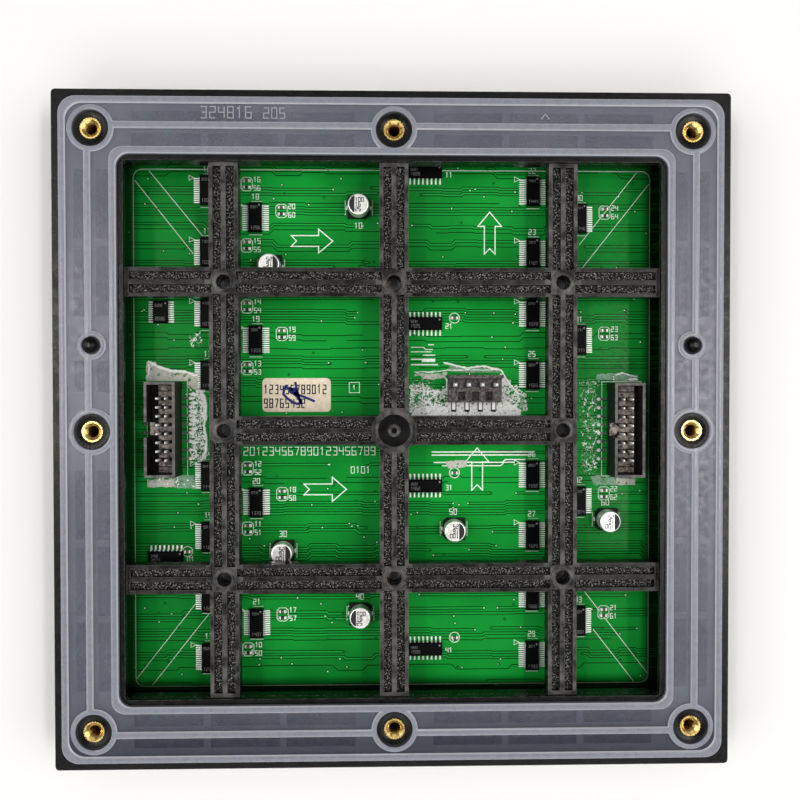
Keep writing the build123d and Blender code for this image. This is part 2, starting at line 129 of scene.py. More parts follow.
def corner_normal(path, i, closed=False):
    """Mitred sideways direction at a point of a path, about one unit wide."""
    count = len(path)
    directions = []
    for first in (i - 1, i):
        if closed or 0 <= first < count - 1:
            a, b = path[first], path[(first + 1) % count]
            length = math.dist(a, b) or 1.0
            directions.append(((b[0] - a[0]) / length, (b[1] - a[1]) / length))
    sx = sum(d[0] for d in directions)
    sy = sum(d[1] for d in directions)
    length = math.hypot(sx, sy) or 1.0
    nx, ny = -sy / length, sx / length
    fit = max(0.35, nx * -directions[0][1] + ny * directions[0][0])
    return nx / fit, ny / fit


def add_object(name, data):
    thing = bpy.data.objects.new(name, data)
    bpy.context.scene.collection.objects.link(thing)
    return thing


def finish_piece(piece, smooth, replaces=()):
    """Shades the piece smooth when an angle is given, rides it on the one body and hides the parts that it
    replaces.
    """
    if smooth is not None:
        piece.data.shade_smooth()
        piece.data.set_sharp_from_angle(angle=math.radians(smooth))
    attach(piece, "root")
    if replaces:
        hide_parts(*replaces)


class Shape:
    """Collects points in millimetres and faces, with a material number on each face."""

    def __init__(self):
        self.points = []
        self.faces = []
        self.marks = []

    def add(self, points, faces, mark=0):
        start = len(self.points)
        self.points += points
        self.faces += [tuple(start + index for index in face) for face in faces]
        self.marks += [mark] * len(faces)

    def loft(self, rings, mark=0, around=True, closed=False, caps=True):
        """Joins each ring of points to the next, and with closed the last to the first."""
        count, total = len(rings[0]), len(rings)
        sides = [(i, (i + 1) % count) for i in range(count if around else count - 1)]
        steps = [(k * count, (k + 1) % total * count) for k in range(total if closed else total - 1)]
        faces = [(a + i, a + j, b + j, b + i) for a, b in steps for i, j in sides]
        if caps and not closed:
            faces += [tuple(range(count)), tuple(range((total - 1) * count, total * count))]
        self.add([point for ring in rings for point in ring], faces, mark)

    def prism(self, outline, z0, z1, mark=0, top_scale=1.0):
        """An upright prism. Its top may be drawn in towards the middle of the outline."""
        cx = sum(x for x, y in outline) / len(outline)
        cy = sum(y for x, y in outline) / len(outline)
        top = [(cx + (x - cx) * top_scale, cy + (y - cy) * top_scale) for x, y in outline]
        self.loft([raised(outline, z0), raised(top, z1)], mark)

    def box(self, corner, far, mark=0):
        x0, y0, z0 = corner
        x1, y1, z1 = far
        self.prism([(x0, y0), (x1, y0), (x1, y1), (x0, y1)], z0, z1, mark)

    def lathe(self, profile, x, y, steps=32, mark=0):
        """Turns a profile of (radius, height) pairs. It closes, unless it starts on the axis."""
        rings = []
        for cos, sin in circle(1.0, steps=steps):
            rings.append([(x + r * cos, y + r * sin, z) for r, z in profile])
        self.loft(rings, mark, around=profile[0][0] > 0.0, closed=True)

    def ribbon(self, path, width, z0, z1, mark=0, closed=False):
        """A thin bar of constant width that follows a path on the board."""
        rings = []
        for i, (x, y) in enumerate(path):
            nx, ny = corner_normal(path, i, closed)
            corners = ((-width / 2, z0), (width / 2, z0), (width / 2, z1), (-width / 2, z1))
            rings.append([(x + nx * side, y + ny * side, z) for side, z in corners])
        self.loft(rings, mark, closed=closed)

    def mesh(self, name, materials=()):
        """The mesh, with doubled points merged, as at a lathe's axis, and faces turned outwards."""
        mesh = bpy.data.meshes.new(name)
        mesh.from_pydata([(x * MM, y * MM, z * MM) for x, y, z in self.points], [], self.faces)
        for material in materials:
            mesh.materials.append(material)
        mesh.polygons.foreach_set("material_index", self.marks)
        work = bmesh.new()
        work.from_mesh(mesh)
        bmesh.ops.remove_doubles(work, verts=work.verts, dist=0.0005 * MM)
        bmesh.ops.dissolve_degenerate(work, edges=work.edges, dist=0.0001 * MM)
        bmesh.ops.recalc_face_normals(work, faces=work.faces)
        work.to_mesh(mesh)
        work.free()
        return mesh

    def build(self, name, materials, smooth=None, replaces=()):
        finish_piece(add_object(name, self.mesh(name, materials)), smooth, replaces)


# Materials

class Paint:
    """A Principled material with short calls for the few nodes that the finishes share."""

    def __init__(self, name, color, roughness, metallic=0.0, specular=0.3):
        self.material = bpy.data.materials.new(name)
        self.material.use_nodes = True
        self.tree = self.material.node_tree
        self.shader = self.tree.nodes["Principled BSDF"]
        self.set("Base Color", color)
        self.set("Roughness", roughness)
        self.set("Metallic", metallic)
        self.set("Specular IOR Level", specular)
        self.place = self.node("TexCoord", {}, "Object")

    def set(self, name, value):
        self.join(value, self.shader.inputs[name])

    def join(self, value, socket):
        """Gives a socket a colour, a number or a link."""
        if isinstance(value, bpy.types.NodeSocket):
            self.tree.links.new(value, socket)
        elif isinstance(value, tuple):
            socket.default_value = (*value, 1.0)
        else:
            socket.default_value = value

    def node(self, kind, inputs, output, **settings):
        """Adds a node with its settings and inputs, and returns one of its outputs."""
        node = self.tree.nodes.new("ShaderNode" + kind)
        for name, value in settings.items():
            setattr(node, name, value)
        for name, value in inputs.items():
            self.join(value, node.inputs[name])
        return node.outputs[output]

    def noise(self, grain, detail=4.0, roughness=0.55):
        """Noise whose grain is about that many millimetres wide."""
        inputs = {"Vector": self.place, "Scale": 1.0 / (grain * MM), "Detail": detail, "Roughness": roughness}
        return self.node("TexNoise", inputs, "Fac")

    def ramp(self, value, low=0.0, high=1.0, start=0.35, end=0.65):
        """Turns a value between start and end into one between low and high."""
        inputs = {"Value": value, "From Min": start, "From Max": end, "To Min": low, "To Max": high}
        return self.node("MapRange", inputs, "Result")

    def rise(self, letter, start, end, low=0.0, high=1.0):
        """A ramp along one axis, between two places in millimetres."""
        return self.ramp(self.axis(letter), low, high, start * MM, end * MM)

    def blend(self, factor, first, second):
        """Mixes two colours, given as colours or as sockets."""
        return self.node("Mix", {"Factor": factor, "A": first, "B": second}, "Result", data_type="RGBA")

    def math(self, operation, first, second):
        return self.node("Math", {0: first, 1: second}, "Value", operation=operation)

    def times(self, first, second):
        return self.math("MULTIPLY", first, second)

    def axis(self, letter):
        return self.node("SeparateXYZ", {"Vector": self.place}, letter)

    def between(self, letter, low, high):
        """1 where a coordinate in millimetres lies between two values, and 0 elsewhere."""
        value = self.axis(letter)
        above = self.math("GREATER_THAN", value, low * MM)
        return self.times(above, self.math("LESS_THAN", value, high * MM))

    def within(self, half):
        """1 inside an upright square shaft about the middle, and 0 outside it."""
        return self.times(self.between("X", -half, half), self.between("Y", -half, half))

    def bevel(self, radius):
        """The normal as if edges were rounded."""
        return self.node("Bevel", {"Radius": radius * MM}, "Normal", samples=4)

    def edges(self, radius):
        """1 along sharp edges, fading to 0 on the flats."""
        inputs = {0: self.bevel(radius), 1: self.node("NewGeometry", {}, "Normal")}
        product = self.node("VectorMath", inputs, "Value", operation="DOT_PRODUCT")
        return self.ramp(product, 1.0, 0.0, 0.8, 0.995)

    def bump(self, height, depth, strength=1.0, soften=0.0):
        """Bump of a depth in millimetres. With soften, edges look rounded by that radius."""
        inputs = {"Distance": depth * MM, "Strength": strength, "Height": height}
        if soften:
            inputs["Normal"] = self.bevel(soften)
        self.set("Normal", self.node("Bump", inputs, "Normal"))

    def tones(self, first, second, grain, detail=4.0):
        """Lets the colour wander between two."""
        self.set("Base Color", self.blend(self.ramp(self.noise(grain, detail)), first, second))

    def gloss(self, low, high, grain):
        """Lets the roughness wander between two values."""
        self.set("Roughness", self.ramp(self.noise(grain), low, high))

    def grit(self, grain, depth, strength, detail=4.0, soften=0.0):
        self.bump(self.noise(grain, detail), depth, strength, soften)


def finish(name, color, roughness, metallic=0.0, specular=0.3, tones=None, gloss=None, grit=None):
    """A finish whose colour, gloss and grain vary a little, each if its numbers are given."""
    paint = Paint(name, color, roughness, metallic, specular)
    for change, numbers in ((paint.tones, tones), (paint.gloss, gloss), (paint.grit, grit)):
        if numbers:
            change(*numbers)
    return paint.material


def plain_paint(name, color, roughness, metallic=0.0, grain=1.0):
    """A one-colour finish with a little change of tone and gloss."""
    tones = (tuple(0.82 * channel for channel in color), color, grain)
    gloss = (0.85 * roughness, min(1.0, 1.15 * roughness), grain)
    return finish(name, color, roughness, metallic, tones=tones, gloss=gloss, grit=(grain / 3, 0.02, 0.5))


def case_plastic():
    """Black moulded plastic with a wandering tone, and painted light: sheen on the ribs, highlights along the
    edges, glints on the grained channel floors and a lighter seat under the gasket.
    """
    paint = Paint("case_plastic", (0.005, 0.005, 0.006), 0.38, specular=0.2)
    inside = paint.within(OPENING_REACH)
    floors = paint.times(paint.between("Z", CHANNEL_Z - 0.3, CHANNEL_Z + 0.3), inside)
    grain = paint.noise(0.42, 2.0, 0.6)
    # Painted glints: bright specks in the grain of the channel floors.
    painted_glints = paint.ramp(grain, 0.0, 1.0, 0.54, 0.64)
    floor_glint_color = paint.blend(painted_glints, (0.0005, 0.0005, 0.0005), (0.26, 0.25, 0.235))
    wear = paint.ramp(paint.noise(7.0, 6.0, 0.6), 0.0, 1.0, 0.42, 0.7)
    wall_color = paint.blend(wear, (0.001, 0.001, 0.0012), (0.005, 0.0047, 0.0045))
    # Painted sheen: lighter patches on the rib tops, the upright bars lighter than the level ones.
    upright = 0.0
    for x in BAR_PLACES:
        upright = paint.math("ADD", paint.between("X", x - 5.2, x + 5.2), upright)
    rib_sheen_color = paint.blend(upright, (0.035, 0.033, 0.031), (0.10, 0.095, 0.09))
    ribs = paint.times(paint.between("Z", LATTICE_Z - 0.12, LATTICE_Z + 0.45), inside)
    rib_sheen = paint.times(ribs, paint.ramp(paint.noise(4.0, 6.0, 0.6), 0.1, 1.0, 0.40, 0.62))
    wall_color = paint.blend(rib_sheen, wall_color, rib_sheen_color)
    # Painted light: the seat under the gasket is lighter grey, for light that the silicone sends back where
    # it lies on the rim.
    seat = paint.times(paint.between("Z", RIM_Z - 0.1, RIM_Z + 0.1), paint.within(GASKET_HIGH.x - 1.0))
    inner = paint.within(GASKET_HIGH.x - GASKET_WIDTH)
    seat = paint.times(seat, paint.math("SUBTRACT", 1.0, inner))
    wall_color = paint.blend(seat, wall_color, (0.10, 0.105, 0.12))
    # Painted highlights: lighter lines along the sharp edges, broken up by noise.
    edge_highlight = paint.times(paint.edges(0.32), paint.ramp(paint.noise(2.2, 5.0, 0.6), 0.2, 1.0, 0.38, 0.6))
    wall_color = paint.blend(edge_highlight, wall_color, (0.15, 0.145, 0.14))
    paint.set("Base Color", paint.blend(floors, wall_color, floor_glint_color))
    paint.gloss(0.22, 0.36, 3.0)
    fine = paint.times(paint.noise(0.4, 3.0), 0.12)
    coarse = paint.times(paint.times(grain, 2.0), floors)
    paint.bump(paint.math("ADD", fine, coarse), 0.25, 0.9, soften=0.45)
    return paint.material


def gasket_silicone():
    """Cloudy grey silicone that lets the black rim show through where it is thin."""
    paint = Paint("gasket_silicone", (0.35, 0.36, 0.43), 0.3, specular=0.5)
    web = paint.blend(paint.ramp(paint.noise(16.0, 5.0)), (0.155, 0.168, 0.225), (0.21, 0.22, 0.28))
    # Painted shade: the web is darker towards the bottom side.
    web = paint.blend(paint.rise("Y", -88.0, -74.0), (0.045, 0.052, 0.085), web)
    thick = paint.rise("Z", RIM_Z + 0.82, RIM_Z + 1.05)
    # Painted highlight: the lips are lighter low on their flanks than on their crests.
    crest = paint.rise("Z", RIM_Z + 1.15, RIM_Z + 1.36)
    lip_flank_highlit = paint.blend(crest, (0.64, 0.65, 0.70), (0.25, 0.26, 0.31))
    paint.set("Base Color", paint.blend(thick, web, lip_flank_highlit))
    paint.set("Alpha", paint.ramp(thick, 0.36, 0.8, 0.0, 1.0))
    paint.gloss(0.2, 0.36, 2.0)
    paint.grit(1.4, 0.05, 0.5)
    paint.set("Subsurface Weight", 0.15)
    paint.set("Subsurface Scale", 0.5 * MM)
    return paint.material


def brass():
    """Brass that is brown down in the bores."""
    paint = Paint("insert_brass", (0.92, 0.70, 0.28), 0.24, 1.0)
    bright = paint.blend(paint.ramp(paint.noise(1.5)), (0.84, 0.63, 0.24), (0.66, 0.44, 0.13))
    height = paint.rise("Z", INSERT_HIGH.z - 2.6, INSERT_HIGH.z - 0.45)
    paint.set("Base Color", paint.blend(height, (0.30, 0.17, 0.05), bright))
    paint.gloss(0.18, 0.38, 0.8)
    paint.grit(0.25, 0.02, 0.6)
    return paint.material


# Axis, where the shade starts, where it is full, and how much light is left there
BOARD_SHADES = (
    ("X", -50.0, -58.0, 0.75), ("X", 50.0, 58.0, 0.88), ("X", 73.5, 76.8, 0.02),
    ("X", -74.0, -77.5, 0.12), ("Y", -73.5, -76.8, 0.02), ("Y", 76.5, 79.0, 0.3),
)


def shaded(paint, color):
    """The colour, darker in the board's side columns and along its margins deep under the rim."""
    light = 1.0
    for letter, start, full, least in BOARD_SHADES:
        light = paint.times(paint.rise(letter, full, start, least, 1.0), light)
    return paint.blend(light, (0.0, 0.002, 0.0), color)


def board_green():
    """Glossy green solder mask."""
    paint = Paint("board_green", (0.006, 0.19, 0.025), 0.16, specular=0.14)
    broad = paint.ramp(paint.noise(30.0, 2.0), 0.0, 1.0, 0.3, 0.7)
    paint.set("Base Color", shaded(paint, paint.blend(broad, (0.005, 0.190, 0.022), (0.008, 0.33, 0.040))))
    paint.gloss(0.12, 0.2, 1.0)
    paint.grit(0.7, 0.02, 0.4, 2.0)
    return paint.material


def track_copper():
    color = (0.008, 0.32, 0.040)
    paint = Paint("track_copper", color, 0.16, specular=0.2)
    paint.set("Base Color", shaded(paint, color))
    paint.gloss(0.12, 0.22, 1.0)
    return paint.material


def legend_ink():
    paint = Paint("legend_ink", (0.72, 0.82, 0.70), 0.55)
    ink = paint.blend(paint.ramp(paint.noise(0.5)), (0.62, 0.78, 0.62), (0.92, 0.96, 0.90))
    paint.set("Base Color", shaded(paint, ink))
    paint.grit(0.2, 0.02, 0.5)
    return paint.material


def header_plastic():
    """Black plastic with some dust, its top edges painted light and its sides painted dark, as light and
    shade fall on them.
    """
    paint = Paint("header_plastic", (0.016, 0.016, 0.017), 0.45, specular=0.15)
    dust = paint.ramp(paint.noise(1.6, 5.0), 0.0, 0.6, 0.4, 0.7)
    # Painted light and shade: top edges much lighter than the sides.
    sides = paint.blend(dust, (0.002, 0.002, 0.002), (0.014, 0.012, 0.011))
    lit_tops = paint.blend(dust, (0.075, 0.072, 0.068), (0.24, 0.23, 0.22))
    on_top = paint.math("GREATER_THAN", paint.axis("Z"), (HEADER_TOP - 0.08) * MM)
    paint.set("Base Color", paint.blend(on_top, sides, lit_tops))
    paint.grit(0.3, 0.05, 0.7, 3.0, 0.15)
    return paint.material


def post_metal():
    """Tinned posts, bright at their tips, with painted shade that darkens them down by the board."""
    paint = Paint("post_metal", (0.75, 0.75, 0.73), 0.4, 0.3)
    # Painted shade: the colour darkens from near the tips down to the board.
    height = paint.rise("Z", BOARD_Z + 2.0, HEADER_TOP - 2.0)
    paint.set("Base Color", paint.blend(height, (0.10, 0.10, 0.09), (0.95, 0.95, 0.93)))
    paint.gloss(0.35, 0.55, 0.5)
    paint.grit(0.3, 0.02, 0.5)
    return paint.material


def dusty_plastic():
    """The power header's plastic, grey-brown with dried dust."""
    paint = Paint("dusty_plastic", (0.03, 0.026, 0.023), 0.55)
    dust = paint.ramp(paint.noise(0.7, 6.0, 0.65), 0.0, 1.0, 0.40, 0.62)
    paint.set("Base Color", paint.blend(dust, (0.016, 0.014, 0.012), (0.13, 0.117, 0.106)))
    paint.grit(0.3, 0.06, 0.8, 3.0, 0.15)
    return paint.material


def dried_coating(name, tone, cover, start, end, grain):
    """Dried white protective coating, open where its noise is low. cover is its opacity elsewhere."""
    paint = Paint(name, tone, 0.5)
    paint.set("Alpha", paint.ramp(paint.noise(grain, 6.0, 0.7), 0.0, cover, start, end))
    paint.tones(tuple(0.8 * channel for channel in tone), tone, 0.6)
    paint.grit(0.4, 0.15, 1.0)
    return paint.material


CASE = case_plastic()
MASK = finish("mask_plastic", (0.015, 0.015, 0.016), 0.6, gloss=(0.55, 0.72, 4.0), grit=(0.3, 0.05, 0.5, 3.0))
SILICONE = gasket_silicone()
BRASS = brass()
GREEN = board_green()
GAP = finish("track_gap", (0.001, 0.022, 0.003), 0.2, specular=0.14, gloss=(0.16, 0.26, 1.0))
COPPER = track_copper()
LEGEND = legend_ink()
EPOXY = finish("chip_epoxy", (0.002, 0.002, 0.0025), 0.4, specular=0.06, gloss=(0.34, 0.5, 0.6),
               grit=(0.15, 0.03, 0.7, 3.0, 0.08))
CHIP_MARK = plain_paint("chip_marking", (0.22, 0.22, 0.23), 0.6, grain=0.5)
TIN = finish("tinned_metal", (0.86, 0.86, 0.85), 0.5, 0.5, gloss=(0.4, 0.6, 0.5), grit=(0.3, 0.03, 0.5))
CAN = finish("can_aluminium", (0.86, 0.86, 0.84), 0.36, 0.85, gloss=(0.3, 0.48, 0.6), grit=(0.2, 0.01, 0.5))
HEADER = header_plastic()
POST = post_metal()
DUSTY = dusty_plastic()
DUST = finish("dust_film", (0.10, 0.08, 0.07), 0.8, grit=(0.3, 0.1, 1.0),
              tones=((0.05, 0.042, 0.038), (0.42, 0.37, 0.335), 0.8))
STRAND = finish("coating_strand", (0.90, 0.91, 0.89), 0.3, specular=0.5, grit=(0.5, 0.12, 1.0),
                tones=((0.78, 0.82, 0.78), (0.95, 0.96, 0.94), 0.8))
SOLDER = plain_paint("solder", (0.96, 0.96, 0.95), 0.3, grain=0.5)
# Black print, also the black of painted shade on the power header.
BLACK_INK_AND_SHADE = plain_paint("black_ink_and_shade", (0.015, 0.015, 0.017), 0.5)
CERAMIC = plain_paint("chip_ceramic", (0.13, 0.09, 0.06), 0.5, grain=0.4)
RESISTOR = plain_paint("resistor_black", (0.02, 0.02, 0.022), 0.4, grain=0.4)
PAPER = plain_paint("label_paper", (0.80, 0.70, 0.54), 0.7, grain=1.5)
PEN = plain_paint("pen_ink", (0.008, 0.010, 0.16), 0.4, grain=0.6)
STEEL = plain_paint("screw_steel", (0.22, 0.22, 0.23), 0.35, 1.0, grain=0.6)
WHITE_PACKAGE = plain_paint("emitter_package", (0.72, 0.71, 0.66), 0.5)
CLEAR_RESIN = plain_paint("emitter_resin", (0.74, 0.70, 0.50), 0.15, grain=0.5)


def paint_cad():
    """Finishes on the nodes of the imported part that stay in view."""
    finishes = {"rear_case": CASE, "circuit_board": GREEN, "mask_screws": STEEL}
    finishes["power_header_housing"] = DUSTY
    finishes.update({node: EPOXY for node in ALL_CHIPS})
    finishes.update({header + "_housing": HEADER for header in HEADERS})
    for node, material in finishes.items():
        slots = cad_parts[node].data.materials
        slots.clear()
        slots.append(material)


# Rim: gasket, inserts and bosses

def lip_height(depth, low, high, centres, half):
    """Height of the gasket at a distance in from its outer edge."""
    for centre in centres:
        share = abs(depth - centre) / half
        if share < 1.0:
            return low + (high - low) * math.sqrt(1 - share ** 3)
    return low


def gasket_sheet():
    """The flat frame with its three rounded lips, swept round the rim."""
    half = 1.1
    centres = (half, GASKET_WIDTH / 2, GASKET_WIDTH - half)
    corner_outer, corner_inner = 4.8, 3.7
    lip_steps = 8
    under = RIM_Z + 0.02
    profile = [(0.0, under)]
    for centre in centres:
        for i in range(lip_steps + 1):
            depth = centre - half + 2 * half * i / lip_steps
            profile.append((depth, lip_height(depth, RIM_Z + 0.8, GASKET_HIGH.z, centres, half)))
    profile.append((GASKET_WIDTH, under))
    rings = []
    for depth, z in profile:
        radius = corner_outer + (corner_inner - corner_outer) * depth / GASKET_WIDTH
        rings.append(raised(rounded_square(GASKET_HIGH.x - depth, radius), z))
    shape = Shape()
    shape.loft(rings, closed=True)
    return shape


def ring_profile(inner, outer, base, top, steps=8):
    """A rounded ring on the gasket, as a closed profile."""
    shoulder = base + 0.45
    points = [(inner, base)]
    for i in range(steps + 1):
        share = -1 + 2 * i / steps
        rise = math.sqrt(max(0.0, 1 - abs(share) ** 3))
        points.append((inner + (outer - inner) / 2 * (1 + share), shoulder + (top - shoulder) * rise))
    points.append((outer, base))
    return points


def boolean(target, shape, operation):
    """Joins a shape to the target or cuts it out."""
    tool = add_object("tool", shape.mesh("tool"))
    change = target.modifiers.new("cut", "BOOLEAN")
    change.operation = operation
    change.solver = "EXACT"
    change.object = tool
    bpy.context.view_layer.update()
    result = bpy.data.meshes.new_from_object(target.evaluated_get(bpy.context.evaluated_depsgraph_get()))
    target.modifiers.clear()
    target.data = result
    bpy.data.objects.remove(tool)


def make_gasket():
    sheet = add_object("gasket", gasket_sheet().mesh("gasket"))
    rings = Shape()
    holes = Shape()
    for places, hole, wall in ((INSERT_PLACES, 5.1, 1.5), (PIN_PLACES, 2.5, 1.6)):
        for x, y in places:
            rings.lathe(ring_profile(hole - 0.4, hole + wall, RIM_Z + 0.3, GASKET_HIGH.z), x, y, 40)
            holes.prism(circle(hole, x, y, 40), RIM_Z - 1, RIM_Z + 3)
    boolean(sheet, rings, "UNION")
    boolean(sheet, holes, "DIFFERENCE")
    sheet.data.materials.clear()
    sheet.data.materials.append(SILICONE)
    finish_piece(sheet, 40, ["seal_gasket"])


def make_gasket_marks():
    """A small raised arrowhead and a few raised plain numbers on the gasket."""
    z = RIM_Z + 0.94
    shape = Shape()
    shape.ribbon([(41.1, 87.2), (42.3, 88.6), (43.5, 87.2)], 0.3, z - 0.3, z)
    write_digits(shape, "324816", -53.6, 87.0, 3.1, 0.34, z, thick=0.3)
    write_digits(shape, "205", -36.2, 87.0, 2.8, 0.3, z, thick=0.3)
    shape.build("gasket_marks", [SILICONE])


def make_inserts():
    """Knurled brass bushes with a threaded bore."""
    steps = 48
    radius, tooth = 3.0, 0.22
    thread_pitch = 0.7
    bore, root, mouth, rim = 1.66, 2.0, 2.2, 2.45
    low, high = INSERT_LOW.z, INSERT_HIGH.z
    thread_top = high - 0.6
    profile = [(rim, high), (mouth, high - 0.15), (bore, thread_top)]
    for turn in range(int((high - low - 1.2) / thread_pitch)):
        z = thread_top - turn * thread_pitch
        profile += [(root, z - thread_pitch / 2), (bore, z - thread_pitch)]
    profile += [(bore, low), (rim, low)]
    shape = Shape()
    for x, y in INSERT_PLACES:
        crests = circle(radius, x, y, steps)
        valleys = circle(radius - tooth, x, y, steps)
        knurl = [crests[i] if i % 2 else valleys[i] for i in range(steps)]
        bore_rings = [raised(circle(r, x, y, steps), z) for r, z in profile]
        shape.loft([raised(knurl, low), raised(knurl, high)] + bore_rings, closed=True)
    shape.build("insert_bushes", [BRASS], 30, ["threaded_inserts"])


# Places, height, steps round, and a profile of radii and heights
BOSS_RIMS = (
    (SCREW_PLACES, LATTICE_Z + 0.3, 40,
     ((2.05, -1.5), (3.34, -0.32), (3.34, -0.06), (3.22, 0.03), (2.2, 0.03), (2.05, -0.1))),
    ([(0.0, 0.0)], LATTICE_Z + 0.3, 56,
     ((4.6, -0.62), (6.32, -0.32), (6.32, -0.1), (6.2, 0.03), (4.7, 0.03), (4.6, -0.08))),
    ([(0.0, 0.0)], LATTICE_Z + 0.3, 40,
     ((0.85, -0.65), (1.79, -0.65), (1.79, -0.05), (1.7, 0.03), (0.95, 0.03), (0.85, -0.05))),
    (INSERT_PLACES, RIM_Z + 0.5, 48,
     ((3.02, -0.6), (4.86, -0.52), (4.86, -0.08), (4.75, 0.03), (3.12, 0.03), (3.02, -0.04))),
)


def make_round_rims():
    """Smooth round rims on the bosses, just proud of the flats of the moulding."""
    shape = Shape()
    for places, z, steps, profile in BOSS_RIMS:
        for x, y in places:
            shape.lathe([(radius, z + rise) for radius, rise in profile], x, y, steps)
    shape.build("boss_rims", [CASE], 40)


# Board: tracks, plated holes and printed lines

PRINT_LOW = BOARD_Z - 0.02
TRACK_Z = BOARD_Z + 0.012
LEGEND_Z = BOARD_Z + 0.035
TRACK_REACH = 80.0
TRACK_WIDTH = 0.46
TRACK_EDGE = 0.24
LANE_PITCH = 1.55


def bus_bends(rng, room):
    """Where a bus of tracks steps sideways along X, and how far it then stands off its lane."""
    bends = [(-TRACK_REACH, rng.uniform(0.0, room))]
    while bends[-1][0] < TRACK_REACH:
        bends.append((bends[-1][0] + rng.uniform(5.0, 24.0), rng.uniform(0.0, room)))
    return bends


def lane_path(bends, start, end, y):
    """One lane of a bus between two places along X, with bends at 45 degrees."""
    corners = [bends[0]]
    for x, shift in bends[1:]:
        before = corners[-1][1]
        corners += [(x, before), (x + abs(shift - before) + 0.01, shift)]

    def shift_at(place):
        for (x0, s0), (x1, s1) in zip(corners[:-1], corners[1:]):
            if x0 <= place <= x1:
                return s0 + (s1 - s0) * (place - x0) / (x1 - x0)
        return corners[-1][1]

    inside = [(x, y + shift) for x, shift in corners if start + 0.3 < x < end - 0.3]
    return [(start, y + shift_at(start))] + inside + [(end, y + shift_at(end))]


def make_tracks():
    """Buses of level tracks. Each is a strip between two dark gaps, or one dark gap alone."""
    rng = random.Random(11)
    gaps = Shape()
    copper = Shape()
    ends = []
    y = -TRACK_REACH
    while y < TRACK_REACH:
        lanes = rng.choice((1, 2, 2, 3, 3))
        room = rng.uniform(0.4, 2.2)
        bends = bus_bends(rng, room)
        for lane in range(lanes):
            single = rng.random() < 0.3
            start = -TRACK_REACH
            while start < TRACK_REACH - 10:
                end = min(TRACK_REACH, start + rng.uniform(40, 150))
                path = lane_path(bends, start, end, y + lane * LANE_PITCH)
                gaps.ribbon(path, TRACK_EDGE if single else TRACK_WIDTH + 2 * TRACK_EDGE, PRINT_LOW, TRACK_Z)
                if not single:
                    copper.ribbon(path, TRACK_WIDTH, PRINT_LOW, TRACK_Z + 0.01)
                    ends += [path[0], path[-1]]
                start = end + rng.uniform(3, 16)
        y += lanes * LANE_PITCH + room + rng.uniform(0.0, 1.4)
    gaps.build("track_gaps", [GAP])
    copper.build("track_copper_strips", [COPPER])
    return ends


# Middle and half size of the printed numbers that plated holes stay clear of
PRINTED_SPOTS = ((-8.6, -12.2, 5.0, 2.0), (-11.6, 12.2, 2.2, 2.2), (-25.0, -6.6, 20.0, 1.9))


def make_vias(ends):
    """Plated holes at the ends of the tracks and here and there between them."""
    rng = random.Random(5)
    shape = Shape()
    places = [end for end in ends if max(abs(end[0]), abs(end[1])) < TRACK_REACH - 1]
    places += [(rng.uniform(-78, 78), rng.uniform(-78, 78)) for _ in range(300)]
    for x, y in places:
        bright = rng.random() < 0.6
        if any(abs(x - a) < half_x and abs(y - b) < half_y for a, b, half_x, half_y in PRINTED_SPOTS):
            continue
        layers = ((0.42, 14, 0.015, 2), (0.3, 12, 0.022, 0), (0.19, 8, 0.03, 1 if bright else 2))
        for radius, steps, rise, mark in layers:
            shape.prism(circle(radius, x, y, steps), PRINT_LOW, TRACK_Z + rise, mark)
    shape.build("vias", [COPPER, LEGEND, GAP])


DIGIT_STROKES = {
    "0": [[(0, 0), (1, 0), (1, 2), (0, 2), (0, 0)]],
    "1": [[(0.5, 0), (0.5, 2), (0.1, 1.6)]],
    "2": [[(0, 2), (1, 2), (1, 1), (0, 1), (0, 0), (1, 0)]],
    "3": [[(0, 2), (1, 2), (1, 0), (0, 0)], [(0.2, 1), (1, 1)]],
    "4": [[(0, 2), (0, 1), (1, 1)], [(1, 2), (1, 0)]],
    "5": [[(1, 2), (0, 2), (0, 1), (1, 1), (1, 0), (0, 0)]],
    "6": [[(1, 2), (0, 2), (0, 0), (1, 0), (1, 1), (0, 1)]],
    "7": [[(0, 2), (1, 2), (0.4, 0)]],
    "8": [[(0, 0), (1, 0), (1, 2), (0, 2), (0, 0)], [(0, 1), (1, 1)]],
    "9": [[(0, 0), (1, 0), (1, 2), (0, 2), (0, 1), (1, 1)]],
}


def write_digits(shape, digits, x, y, height, stroke=0.2, z=LEGEND_Z, mark=0, turned=False,
                 thick=0.02, width=1.0):
    """Plain numbers in single strokes, starting at x and y. width is their width at a height of 2."""
    scale = height / 2
    sign = -1 if turned else 1
    for index, digit in enumerate(digits):
        left = index * (width + 0.6) * scale
        for line in DIGIT_STROKES[digit]:
            path = [(x + sign * (px * width * scale + left), y + sign * py * scale) for px, py in line]
            closed = path[0] == path[-1]
            shape.ribbon(path[:-1] if closed else path, stroke, z - thick, z, mark, closed)


def print_line(shape, path, width, closed=False):
    shape.ribbon(path, width, LEGEND_Z - 0.03, LEGEND_Z, closed=closed)


def outline_arrow(shape, tail, tip, head=7.0):
    """An outlined arrow from tail to tip, its tail notched."""
    shaft, head_length = 3.2, 4.2
    length = math.dist(tail, tip)
    ux, uy = (tip[0] - tail[0]) / length, (tip[1] - tail[1]) / length
    neck = length - head_length
    corners = [(0, -shaft / 2), (neck, -shaft / 2), (neck, -head / 2), (length, 0),
               (neck, head / 2), (neck, shaft / 2), (0, shaft / 2), (shaft / 2, 0)]
    print_line(shape, [(tail[0] + a * ux - b * uy, tail[1] + a * uy + b * ux) for a, b in corners], 0.3, True)


def pin_one_mark(shape, x, y, size):
    """A small triangle that points to pin one."""
    path = [(x - size / 2, y - size / 2), (x + size / 2, y), (x - size / 2, y + size / 2)]
    print_line(shape, path, 0.15, True)


